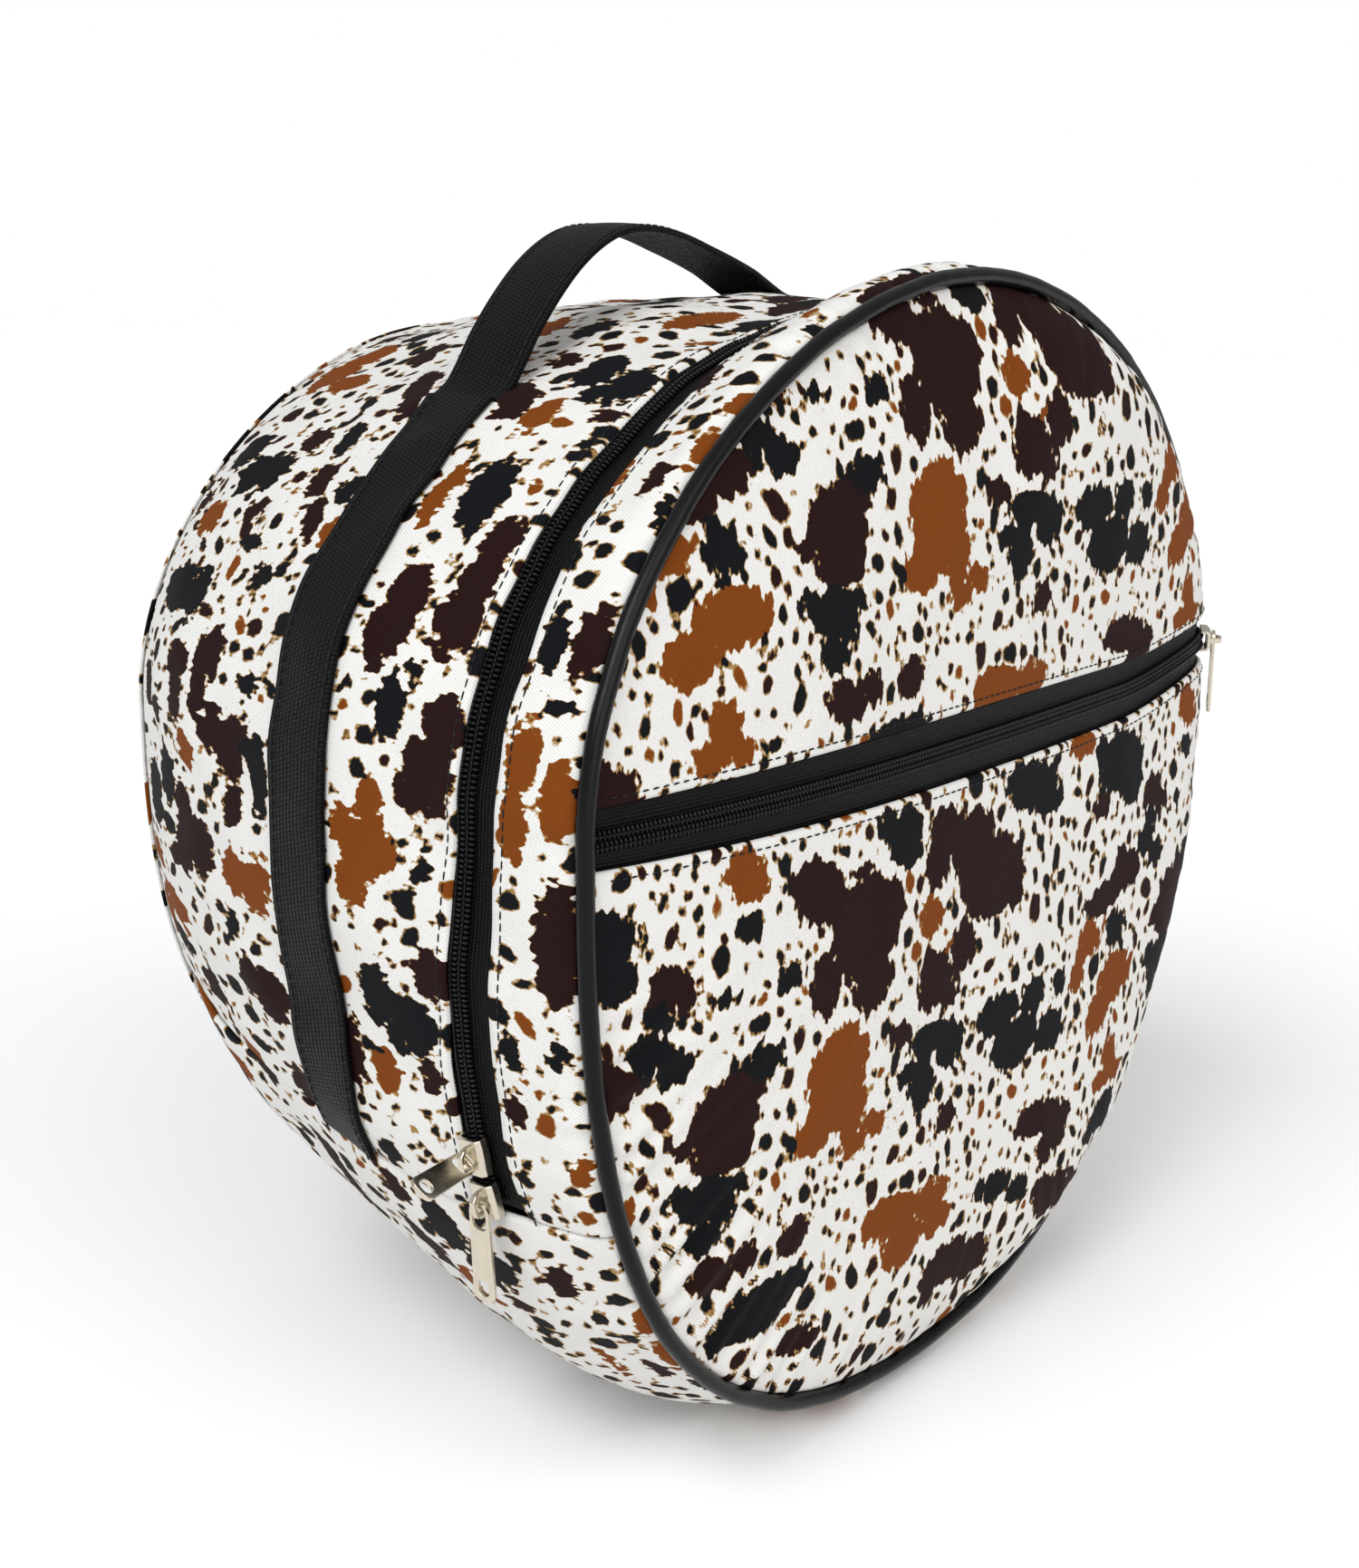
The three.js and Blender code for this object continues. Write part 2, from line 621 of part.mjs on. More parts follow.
// Each tab is turned under its bridge, then swung up from lying along the zip. The pocket's tab
// hangs square to its zip, so that one side rail of its eye passes under the bridge.
function addSliders() {
  const hung = [(tabWidth - tabRail) / 2, pocketTabSlip];
  const sliders = [
    { zip: 'upper', seat: mainZipSeat(upperSliderTurn), turn: upperTabSwivel, swing: upperTabSwing, shift: [0, 0] },
    { zip: 'lower', seat: mainZipSeat(lowerSliderTurn), turn: lowerTabSwivel, swing: lowerTabSwing, shift: [0, 0] },
    { zip: 'pocket', seat: pocketSeat(pocketSliderAcross), turn: 90, swing: 0, shift: hung },
  ];
  for (const { zip, seat, turn, swing, shift } of sliders) {
    const pose = seat.clone().multiply(new THREE.Matrix4().makeTranslation(0, 0, pivotHeight))
      .multiply(new THREE.Matrix4().makeRotationZ(radians(turn)))
      .multiply(new THREE.Matrix4().makeRotationX(-radians(swing)))
      .multiply(new THREE.Matrix4().makeTranslation(...shift, 0));
    addPiece(`${zip}_zip_slider`, sliderGeometry(), nickel).applyMatrix4(seat);
    addPiece(`${zip}_pull_tab`, tabGeometry(), nickel).applyMatrix4(pose);
  }
}

// A cross-section of the webbing: its inner face, then its outer face back again.
function strapRing(place) {
  const halves = stops(-strapWidth / 2, strapWidth / 2, 2);
  return [...halves.map((side) => place(side, 0)), ...halves.reverse().map((side) => place(side, strapWall))];
}

// One length of webbing: up the left side, over the top as a loop, and down the right side.
function addStrap() {
  const onSkin = (turn) => strapRing((side, height) => liftedSkin(turn, strapDepth + side, strapLift + height));
  const endTurn = seamAngle - strapEndGap / panelHalfWidth;
  const leftTurn = radians(handleLeftTurn);
  const rightTurn = radians(handleRightTurn);
  const left = liftedSkin(leftTurn, strapDepth, strapLift);
  const right = liftedSkin(rightTurn, strapDepth, strapLift);
  const middle = handleLoop.map(({ along, rise }) => (
    left.clone().lerp(right, along).add(new THREE.Vector3(0, 0, rise * handleRise))));
  const before = liftedSkin(leftTurn - handleRun, strapDepth, strapLift);
  const after = liftedSkin(rightTurn + handleRun, strapDepth, strapLift);
  const curve = new THREE.CatmullRomCurve3([before, left, ...middle, right, after]);
  const pieces = middle.length + 3;
  const loop = stops(1.2 / pieces, 1 - 1.2 / pieces, 30).map((share) => {
    const point = curve.getPoint(share);
    const run = curve.getTangent(share);
    const out = new THREE.Vector3(-run.z, 0, run.x);
    return strapRing((side, height) => (
      new THREE.Vector3(point.x, strapDepth + side, point.z).addScaledVector(out, height)));
  });
  const rings = [
    ...stops(-endTurn, leftTurn - handleRun * 0.2, 15).map(onSkin),
    ...loop,
    ...stops(rightTurn + handleRun * 0.2, endTurn, 19).map(onSkin),
  ];
  addPiece('carry_strap', barOfRings(rings), webbing);
}

addPiping();
addBodyPanels();
addBackPanel();
addFrontPanel('front_panel_upper', pocketUpperLip, radians(45));
addFrontPanel('front_panel_lower', -pocketLowerLip, radians(140));
addPocketZip();
addMainZip();
addSliders();
addStrap();

// Stand the bag on z = 0 with its middle over the origin.
const box = new THREE.Box3().setFromObject(group);
const middle = box.getCenter(new THREE.Vector3());
group.position.set(-middle.x, -middle.y, -box.min.z);
group.updateMatrixWorld(true);

export default group;
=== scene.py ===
import math
import bpy
import bmesh
import numpy as np
from mathutils import Matrix, Vector


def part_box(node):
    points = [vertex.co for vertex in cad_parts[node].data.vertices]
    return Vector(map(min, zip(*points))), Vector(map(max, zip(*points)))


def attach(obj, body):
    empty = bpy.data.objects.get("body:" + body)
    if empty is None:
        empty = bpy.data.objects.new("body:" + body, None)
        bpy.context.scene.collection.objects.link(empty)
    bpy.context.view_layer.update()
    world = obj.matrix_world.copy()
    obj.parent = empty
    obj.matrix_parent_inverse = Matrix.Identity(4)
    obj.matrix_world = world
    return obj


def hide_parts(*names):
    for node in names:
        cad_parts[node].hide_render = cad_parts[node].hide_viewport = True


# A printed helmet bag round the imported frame. Shapes are worked out in millimetres, with x across the
# bag, y from the piping to the back and z from the widest line of the front, and moved to the row frame
# when each mesh is made.
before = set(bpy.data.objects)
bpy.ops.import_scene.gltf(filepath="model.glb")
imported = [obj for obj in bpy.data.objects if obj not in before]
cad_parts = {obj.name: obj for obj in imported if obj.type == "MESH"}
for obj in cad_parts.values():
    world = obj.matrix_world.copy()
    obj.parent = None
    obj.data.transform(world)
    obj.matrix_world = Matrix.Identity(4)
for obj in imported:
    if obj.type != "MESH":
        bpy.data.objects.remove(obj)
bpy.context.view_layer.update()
mm = 0.001
rad = np.radians
fullTurn = 2 * math.pi
gap = 0.3  # the clearance between pieces
floorOfBag = -206.5  # the flat underside, in the shapes' own frame
pipingRadius = 2.4
pipingLow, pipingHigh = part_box("front_piping")
pipingMiddle = (pipingLow.x + pipingHigh.x) / 2
originShift = np.array([pipingMiddle / mm, pipingLow.y / mm + pipingRadius, -floorOfBag])
print("frame loaded, shift", originShift.round(2))


def toRow(points):
    return (np.asarray(points, float) + originShift) * mm


def addObject(name, data):
    piece = bpy.data.objects.new(name, data)
    bpy.context.scene.collection.objects.link(piece)
    return piece


def finalMesh(piece):  # the mesh with its modifiers carried out
    evaluated = piece.evaluated_get(bpy.context.evaluated_depsgraph_get())
    return bpy.data.meshes.new_from_object(evaluated)


# camera
camera = {
    "place": (-571.1, -327.9, 139.1), "azimuth": 52.92, "elevation": 13.76, "roll": 0.78,
    "lens": 51.52, "sensor": 36, "near": 0.01,
}


def addCamera():
    azimuth, elevation, roll = (math.radians(camera[key]) for key in ("azimuth", "elevation", "roll"))
    level = Vector((math.cos(azimuth), -math.sin(azimuth), 0))
    flat = math.cos(elevation)
    back = Vector((-math.sin(azimuth) * flat, -math.cos(azimuth) * flat, math.sin(elevation)))
    upright = back.cross(level)
    right = level * math.cos(roll) + upright * math.sin(roll)
    up = upright * math.cos(roll) - level * math.sin(roll)
    data = bpy.data.cameras.new("camera")
    data.lens = camera["lens"]
    data.sensor_width = camera["sensor"]
    data.clip_start = camera["near"]
    view = addObject("camera", data)
    place = Matrix((right, up, back)).transposed().to_4x4()
    place.translation = Vector(toRow(camera["place"]))
    view.matrix_world = place
    bpy.context.scene.camera = view


addCamera()
print("camera placed")

# shape of the bag
bag = {
    "halfWidth": 174, "rise": 129, "drop": 201, "riseRoundness": 1.87, "dropRoundness": 2.53,
    "depth": 208, "clothWall": 2.4, "padWall": 6, "crown": 15, "rollRise": 5, "rollFall": 12,
    "sideSag": 7, "sagStart": 5, "lowSagShare": 1.33, "sagLow": -120, "sagHigh": -50,
    "lowDraw": 0.03, "lowDrawTurn": 154, "lowDrawSpread": 18, "seamTurn": 124.8,
    "soleHalfWidth": 34, "soleFront": 8, "soleBack": 92, "soleBlend": 34, "soleRearBlend": 62,
    "doorDepth": 26, "zipOpening": 13.8, "sliderRoom": 2, "roomStart": 105.3, "roomFull": 115.3,
    "zipDrift": 6, "driftStart": 85, "driftEnd": 113, "zipReturn": 2, "returnStart": 110, "returnEnd": 126,
    "pocketLine": -2.8, "pocketClimb": 7.2, "climbStart": 80, "climbEnd": 165,
    "pocketUpperLip": 10.6, "pocketLowerLip": 9.4, "pocketLipTaper": 0.24,
}
rimSections = np.array([  # turn, then how squarely the front falls to the piping and how far it rolls forward
    (-180, 7, 2),
    (-150, 4.5, 0),
    (-90, 2.9, 0),
    (-10, 3.2, 0),
    (40, 9.5, 10),
    (65, 9.5, 7),
    (90, 9.5, 8),
    (110, 9.5, 10),
    (160, 9.5, 10),
    (180, 7, 2),
])
bodySections = np.array([  # depth share, then top, side and bottom as shares of the front outline
    (0, 1, 1, 1),
    (0.05, 1.022, 1.015, 1.02),
    (0.18, 0.935, 1.014, 1.055),
    (0.41, 0.942, 1.004, 1.01),
    (0.62, 0.917, 0.962, 0.928),
    (0.86, 0.873, 0.872, 0.855),
    (1, 0.843, 0.776, 0.79),
])
edgeClear = pipingRadius + 0.1  # from the outline in to the edge of the front
frontGap = pipingRadius + 0.2  # from the outline back to the cloth behind it
arcTurns = rad(np.linspace(-260, 260, 5201))


def smooth(value, low, high):
    t = np.clip((value - low) / (high - low), 0, 1)
    return t * t * (3 - 2 * t)


def outlineRadius(turn):
    up = np.cos(turn)
    height = np.where(up >= 0, bag["rise"], bag["drop"])
    roundness = np.where(up >= 0, bag["riseRoundness"], bag["dropRoundness"])
    total = (np.abs(np.sin(turn)) / bag["halfWidth"]) ** roundness + (np.abs(up) / height) ** roundness
    away = (np.degrees(turn) - bag["lowDrawTurn"] + 180) % 360 - 180
    draw = bag["lowDraw"] * np.exp(-(away / bag["lowDrawSpread"]) ** 2)
    return (1 - draw) * total ** (-1 / roundness)


def outlinePoint(turn):
    radius = outlineRadius(turn)
    return radius * np.sin(turn), radius * np.cos(turn)


def sagDepth(x, z):  # how far the soft right-hand side of the front hangs back
    across = np.maximum(x - bag["sagStart"], 0) / (bag["halfWidth"] - bag["sagStart"])
    low = bag["lowSagShare"] + (1 - bag["lowSagShare"]) * smooth(z, bag["sagLow"], bag["sagHigh"])
    return bag["sideSag"] * across ** 2 * low


def sectionShare(column, share):
    rows = bodySections
    last = len(rows) - 1
    row = np.clip(np.searchsorted(rows[:, 0], share, side="right") - 1, 0, last - 1)

    def slope(index):
        before = rows[np.maximum(index - 1, 0)]
        after = rows[np.minimum(index + 1, last)]
        return (after[..., column] - before[..., column]) / (after[..., 0] - before[..., 0])

    start, end = rows[row], rows[row + 1]
    span = end[..., 0] - start[..., 0]
    t = (share - start[..., 0]) / span
    rest = 1 - t
    level = start[..., column] * (1 + 2 * t) * rest * rest + end[..., column] * t * t * (3 - 2 * t)
    return level + span * (slope(row) * t * rest * rest - slope(row + 1) * t * t * rest)


def skin(turn, depth):
    turn, depth = np.broadcast_arrays(np.asarray(turn, float), np.asarray(depth, float))
    up = np.cos(turn)
    share = depth / bag["depth"]
    side = sectionShare(2, share)
    end = np.where(up >= 0, sectionShare(1, share), sectionShare(3, share))
    radius = outlineRadius(turn) * (side + (end - side) * up * up)
    x, z = radius * np.sin(turn), radius * up
    inWidth = 1 - smooth(np.abs(x), bag["soleHalfWidth"], bag["soleHalfWidth"] + bag["soleBlend"])
    inDepth = 1 - smooth(depth, bag["soleBack"], bag["soleBack"] + bag["soleRearBlend"])
    press = np.where(up < 0, inWidth * inDepth * smooth(depth, 0, bag["soleFront"]), 0)
    level = np.maximum(z + (floorOfBag - z) * press, floorOfBag)
    return np.stack([x, depth + sagDepth(x, z) * (1 - share), level], -1)


def skinNormal(turn, depth, turnStep=0.004, depthStep=0.8):
    run = skin(turn + turnStep, depth) - skin(turn - turnStep, depth)
    rise = skin(turn, depth + depthStep) - skin(turn, depth - depthStep)
    normal = np.cross(rise, run)
    normal /= np.linalg.norm(normal, axis=-1, keepdims=True)
    outward = np.sign((normal * (skin(turn, depth) * (1, 0, 1))).sum(-1, keepdims=True))
    return normal * np.where(outward == 0, 1, outward)


def liftedSkin(turn, depth, lift):
    return skin(turn, depth) + skinNormal(turn, depth) * np.asarray(lift)[..., None]


def runAlong(points):  # the length run up to each point
    return np.concatenate([[0], np.cumsum(np.linalg.norm(np.diff(points, axis=0), axis=1))])


arcRuns = runAlong(np.stack(outlinePoint(arcTurns), -1))


def arcLength(turn):
    return np.interp(turn, arcTurns, arcRuns - np.interp(0, arcTurns, arcRuns))


def ripple(points, size, seed, count=14, spread=(0.7, 1.6)):  # smooth random waves, about -1 to 1
    rng = np.random.default_rng(seed)
    points = np.asarray(points, float)
    total = np.zeros(points.shape[:-1])
    for _ in range(count):
        direction = rng.normal(size=points.shape[-1])
        direction /= np.linalg.norm(direction)
        wave = rng.uniform(*spread) * fullTurn / size
        total += np.cos(points @ direction * wave + rng.uniform(0, fullTurn))
    return total / math.sqrt(count)


def waves(points, *rows):  # each row has a height, a size and a seed
    return sum(height * ripple(points, size, seed) for height, size, seed in rows)


# printed pattern: large blots, charted on the cloth as ellipses in millimetres. A row has x, y, half
# the length, half the width and, where it leans, its tilt in degrees.
blots = {
    "maroon": [
        (-127, -86, 13, 12), (-119, -78, 8, 6), (-139, -90, 5, 3), (-125, -95, 11, 6), (-70, -45, 17, 15),
        (-92, -30, 13, 9, -25), (-66, -61, 10, 9), (-88, -57, 7, 9), (-58, -42, 6, 9), (-71, -28, 6, 2, 10),
        (-2, -45, 19, 13), (-14, -33, 13, 11), (-30, -27, 10, 9), (-35, -35, 6, 7), (12, -50, 6, 8),
        (-33, -70, 9, 10), (-18, -64, 7, 9), (-25, -76, 6, 4), (-50, -82, 7, 4), (78, -70, 14, 6, 15),
        (92, -64, 9, 7), (86, -57, 5, 3), (66, -71, 5, 3), (109, -41, 8, 7), (115, -45, 5, 4),
        (69, -37, 6, 5), (-23, -115, 6, 5), (36, -134, 14, 6), (48, -140, 9, 8), (40, -147, 5, 6),
        (-12, -168, 14, 8), (3, -172, 11, 8), (-20, -175, 5, 6), (50, -165, 12, 8), (61, -168, 10, 7),
        (40, -160, 6, 5), (-95, -129, 7, 6), (-126, -131, 9, 6, -20), (-115, -129, 5, 5),
        (-85, -166, 9, 5, -15),
    ],
    "orange": [
        (-81, -83, 14, 11, 15), (-87, -97, 12, 8, 40), (-73, -96, 6, 13), (-62, -105, 7, 4, -15),
        (-78, -75, 6, 5), (-71, -109, 6, 4), (88, -100, 14, 8, 5), (74, -109, 10, 7, 20),
        (68, -82, 9, 6, -15), (58, -92, 7, 5, 20), (62, -86, 5, 5), (-37, -50, 6, 6), (-122, -18, 7, 6),
        (-120, -24, 4, 3), (54, -15, 9, 4), (137, -17, 8, 6, -20), (-49, -139, 14, 7), (-29, -140, 10, 7),
        (-40, -151, 10, 8), (-23, -148, 7, 6), (85, -128, 6, 8), (80, -134, 9, 4), (90, -134, 6, 4),
    ],
    "black": [
        (-130, -108, 10, 8), (-131, -117, 6, 6), (-140, -104, 5, 4), (-121, -104, 5, 4), (-153, -60, 7, 6),
        (-145, -66, 6, 5), (87, -83, 7, 7), (-33, -88, 13, 5), (-22, -92, 8, 8), (-38, -100, 7, 8),
        (-45, -95, 6, 4), (6, -91, 12, 7), (26, -90, 8, 6), (18, -103, 14, 9), (38, -105, 10, 7),
        (43, -90, 5, 5), (82, -25, 18, 10), (90, -34, 9, 7), (68, -20, 6, 5), (22, -22, 17, 8, -10),
        (34, -28, 8, 5), (10, -18, 6, 5), (-52, -22, 9, 8), (-48, -28, 6, 4), (-60, -17, 6, 4),
        (-120, -34, 6, 4), (12, -150, 8, 6), (25, -155, 7, 5), (3, -148, 5, 4), (85, -148, 10, 8, 10),
        (78, -151, 7, 6), (-105, -148, 14, 9, 15), (-92, -143, 6, 5), (-118, -154, 6, 4, 10),
        (-112, -72, 8, 5), (-150, -52, 5, 4), (-128, -51, 4, 3), (-104, -51, 6, 4),
    ],
}
sideBlots = {
    "maroon": [
        (-267, -8, 14, 7), (-255, -7, 7, 5), (-190, -8, 10, 5), (-143, -12, 6, 4), (-101, -24, 7, 5),
        (-312, -25, 5, 4), (-37, -4, 20, 3), (-281, -49, 7, 7), (-310, -54, 5, 4), (-314, -86, 8, 5),
        (-306, -85, 5, 3), (-230, -49, 10, 8), (-234, -56, 6, 5), (-217, -47, 9, 7), (-226, -56, 6, 4),
        (-190, -51, 10, 7), (-180, -50, 10, 7), (-167, -48, 8, 6), (-190, -57, 6, 3), (-194, -73, 9, 8),
        (-184, -71, 9, 7), (-202, -75, 5, 4), (-119, -46, 3, 5), (-117, -79, 8, 6), (-110, -85, 7, 6),
        (-89, -82, 5, 6), (-20, -50, 13, 6), (-8, -60, 10, 6), (-117, -120, 9, 5, -15),
        (-106, -125, 9, 6, -15), (-309, -122, 9, 8), (-306, -132, 7, 5), (-254, -134, 6, 5),
        (-236, -135, 10, 7), (-232, -144, 7, 5), (-231, -127, 4, 4), (-165, -125, 9, 4, -25),
        (-150, -134, 8, 5, -15), (-211, -150, 9, 8), (-224, -151, 7, 4), (-162, -157, 4, 6),
        (-130, -154, 6, 6), (-272, -155, 10, 8), (-276, -166, 9, 8), (-262, -165, 8, 6), (-282, -175, 5, 5),
        (-227, -166, 9, 5), (-216, -167, 7, 7), (-80, -147, 9, 6), (-234, -186, 5, 7), (-227, -197, 9, 5),
        (-327, -165, 6, 8), (-155, -200, 6, 4), (-30, -120, 12, 8), (-45, -190, 8, 7), (-361, -12, 10, 8),
        (-362, -24, 10, 9), (-366, -32, 6, 5), (-352, -9, 5, 4), (-395, -60, 9, 8), (-340, -120, 8, 6),
        (-380, -150, 9, 7), (-410, -20, 8, 7),
    ],
    "orange": [
        (-229, -7, 10, 5), (-130, -4, 8, 3), (-114, -4, 5, 3), (-237, -20, 8, 5), (-220, -19, 9, 5),
        (-326, -6, 5, 3), (-143, -25, 6, 2), (-134, -27, 4, 2), (-314, -72, 6, 6), (-251, -72, 9, 9),
        (-261, -77, 6, 6), (-240, -71, 7, 5), (-252, -65, 5, 4), (-247, -81, 6, 4), (-155, -80, 9, 4),
        (-147, -79, 5, 4), (-147, -50, 3, 2), (-121, -67, 8, 5), (-55, -64, 9, 6), (-45, -60, 8, 6),
        (-175, -107, 7, 6), (-169, -114, 5, 5), (-276, -125, 8, 8), (-274, -135, 7, 7), (-270, -120, 5, 5),
        (-242, -159, 6, 5), (-164, -184, 7, 7), (-96, -170, 6, 9), (-85, -187, 14, 9), (-70, -180, 8, 9),
        (-305, -185, 6, 12), (-315, -197, 8, 7), (-294, -200, 5, 7), (-60, -112, 9, 6), (-352, -63, 8, 5),
        (-362, -57, 8, 5), (-385, -95, 9, 7), (-400, -130, 8, 7), (-345, -150, 7, 6), (-405, -180, 9, 7),
    ],
    "black": [
        (-152, -4, 6, 2), (-191, -19, 9, 4), (-296, -24, 5, 4), (-207, -10, 2, 4), (-294, -9, 4, 3),
        (-76, -5, 3, 3), (-297, -59, 9, 9), (-291, -71, 9, 8), (-302, -65, 5, 5), (-254, -52, 4, 4),
        (-214, -66, 9, 5), (-205, -60, 4, 3), (-152, -64, 12, 8), (-160, -61, 6, 4), (-131, -45, 2, 4),
        (-104, -50, 9, 9), (-95, -65, 10, 7), (-108, -57, 6, 5), (-49, -45, 9, 5), (-216, -107, 8, 6),
        (-204, -106, 6, 6), (-190, -107, 5, 6), (-153, -117, 5, 6), (-242, -120, 12, 5), (-235, -125, 5, 4),
        (-216, -127, 3, 5), (-184, -136, 4, 5), (-132, -136, 7, 5), (-174, -150, 3, 7), (-192, -170, 10, 7),
        (-191, -185, 9, 12), (-146, -160, 9, 7), (-147, -172, 9, 8), (-134, -187, 10, 9),
        (-55, -170, 10, 7), (-255, -177, 10, 7), (-267, -192, 12, 8), (-292, -139, 5, 3), (-65, -90, 8, 7),
        (-25, -95, 9, 8), (-25, -160, 9, 7), (-320, -185, 4, 8), (-346, -31, 3, 4), (-378, -45, 7, 5),
        (-370, -80, 8, 6), (-385, -12, 7, 5), (-365, -115, 9, 7), (-352, -180, 9, 7), (-410, -90, 8, 7),
        (-385, -190, 8, 6), (-412, -50, 6, 5), (-340, -76, 5, 5),
    ],
}
printing = {
    "reach": 9.0, "margin": 30, "merge": 0.6,
    "front": {
        "blots": blots, "across": (257, 4), "down": (-52, -196), "corner": (-130, -10),
        "spots": 700, "seed": 11,
    },
    "side": {
        "blots": sideBlots, "across": (400, 0), "down": (0, -210), "corner": (-420, 0),
        "spots": 1100, "seed": 12,
    },
}
hues = ("maroon", "orange", "black")
small = {  # the spots between the blots
    "tries": 9, "least": 1.1, "spread": 4.0, "falloff": 1.9, "width": (0.45, 0.9), "leastWidth": 0.95,
    "lean": 0.6, "blotShare": 0.8, "blotGap": 0.7, "spotGap": 0.5, "draw": (2,) * 7 + (0, 0, 1),
}
cloth = {
    "white": (0.70, 0.695, 0.675, 1), "rim": (0.33, 0.19, 0.06, 1), "maroon": (0.0135, 0.0022, 0.0024, 1),
    "orange": (0.175, 0.042, 0.0025, 1), "black": (0.0022, 0.0027, 0.0042, 1),
    "edge": 0.14, "rimWidth": 0.38, "fur": (1.0, 0.55, 1.0), "ragged": (5.0, 3.2), "frayed": (1.7, 1.2),
    # shade is the range of the painted shade and highlight that the weave height puts on the cloth colour
    "smallShare": 0.36, "slant": 0.6, "weft": 0.8, "paintedWeaveShade": (0.88, 1.04), "crease": (2.2, 9),
    "roughness": 0.7, "specular": 0.1, "bump": (0.5, 0.00012),
}


def ellipseDistance(dx, dy, a, b, tilt):
    c, s = np.cos(tilt), np.sin(tilt)
    length = np.hypot((dx * c + dy * s) / a, (dy * c - dx * s) / b)
    return (length - 1) * np.sqrt(a * b)


def spotTable(chart):
    big = np.array([
        (x, y, a, b, math.radians(sum(tilt)), hues.index(hue))
        for hue in hues for x, y, a, b, *tilt in chart["blots"][hue]])
    across, down, corner = (np.array(chart[key]) for key in ("across", "down", "corner"))
    shifts = np.array([i * across + j * down for i in (-1, 0, 1) for j in (-1, 0, 1)])
    rng = np.random.default_rng(chart["seed"])
    found = np.zeros((0, big.shape[1]))
    for _ in range(chart["spots"] * small["tries"]):
        place = corner + rng.random() * across + rng.random() * down
        long = small["least"] + small["spread"] * rng.random() ** small["falloff"]
        wide = max(long * rng.uniform(*small["width"]), small["leastWidth"])
        tilt = math.pi / 2 + rng.normal() * small["lean"]
        hue = rng.choice(small["draw"])
        around = (place + shifts)[:, None]
        toBlots = ellipseDistance(*np.moveaxis(around - big[None, :, :2], -1, 0), *big[:, 2:5].T)
        if toBlots.min() < long * small["blotShare"] + small["blotGap"]:
            continue
        toSpots = np.linalg.norm(around - found[None, :, :2], axis=-1) - found[None, :, 2]
        if len(found) and toSpots.min() < long + small["spotGap"]:
            continue
        found = np.vstack([found, (*place, long, wide, tilt, hue)])
        if len(found) >= chart["spots"]:
            break
    chart["table"], chart["bigCount"] = np.vstack([big, found]), len(big)


for part in ("front", "side"):
    spotTable(printing[part])
    print("print charted,", part, len(printing[part]["table"]), "spots")


def printField(points, chart):  # distances to the hues, 0.5 on the edge, then the wander's share
    flat = np.asarray(points, float).reshape(-1, 2)
    reach, margin, merge = (printing[key] for key in ("reach", "margin", "merge"))
    fields = np.full((len(flat), len(hues)), reach)
    nearest = np.full((2, len(flat)), reach)
    across, down = np.array(chart["across"]), np.array(chart["down"])
    low, high = flat.min(0) - margin, flat.max(0) + margin
    basis = np.linalg.inv(np.stack([across, down], 1))
    corners = np.array([(x, y) for x in (low[0], high[0]) for y in (low[1], high[1])]) @ basis.T
    first, last = np.floor(corners.min(0)).astype(int) - 1, np.ceil(corners.max(0)).astype(int) + 1
    order = np.argsort(flat[:, 0])
    sortedX = flat[order, 0]
    cells = [range(first[k], last[k] + 1) for k in (0, 1)]
    shifts = [i * across + j * down for i in cells[0] for j in cells[1]]
    for shift in shifts:
        for index, (x, y, a, b, tilt, hue) in enumerate(chart["table"]):
            px, py = x + shift[0], y + shift[1]
            if not (low[0] < px < high[0] and low[1] < py < high[1]):
                continue
            size = max(a, b) + reach
            near = order[np.searchsorted(sortedX, px - size):np.searchsorted(sortedX, px + size)]
            near = near[np.abs(flat[near, 1] - py) < size]
            distance = ellipseDistance(flat[near, 0] - px, flat[near, 1] - py, a, b, tilt)
            fields[near, int(hue)] = np.minimum(fields[near, int(hue)], distance)
            kind = int(index >= chart["bigCount"])
            nearest[kind, near] = np.minimum(nearest[kind, near], distance)
    wander = 1 + (cloth["smallShare"] - 1) * smooth(nearest[0] - nearest[1], -merge, merge)
    return np.column_stack([np.clip(0.5 + fields / (2 * reach), 0, 1), wander])


# mesh making
def addMesh(name, points, faces, material, uv=None, field=None):
    points, faces = np.asarray(points, float), np.asarray(faces)
    a, b, c = (points[faces[:, k]] for k in (0, 1, 2))
    volume = (a * np.cross(b, c)).sum()
    if faces.shape[1] == 4:
        volume += (a * np.cross(c, points[faces[:, 3]])).sum()
    if volume < 0:
        faces = faces[:, ::-1]
    mesh = bpy.data.meshes.new(name)
    mesh.from_pydata(toRow(points).tolist(), [], faces.tolist())
    mesh.polygons.foreach_set("use_smooth", [True] * len(mesh.polygons))
    if uv is not None:
        layer = mesh.uv_layers.new(name="cloth")
        index = np.empty(len(mesh.loops), int)
        mesh.loops.foreach_get("vertex_index", index)
        layer.data.foreach_set("uv", (np.asarray(uv, float)[index] * mm).ravel())
    if field is not None:
        layer = mesh.attributes.new("printField", "FLOAT_COLOR", "POINT")
        layer.data.foreach_set("color", field.ravel())
    mesh.materials.append(material)
    mesh.update()
    return addObject(name, mesh)


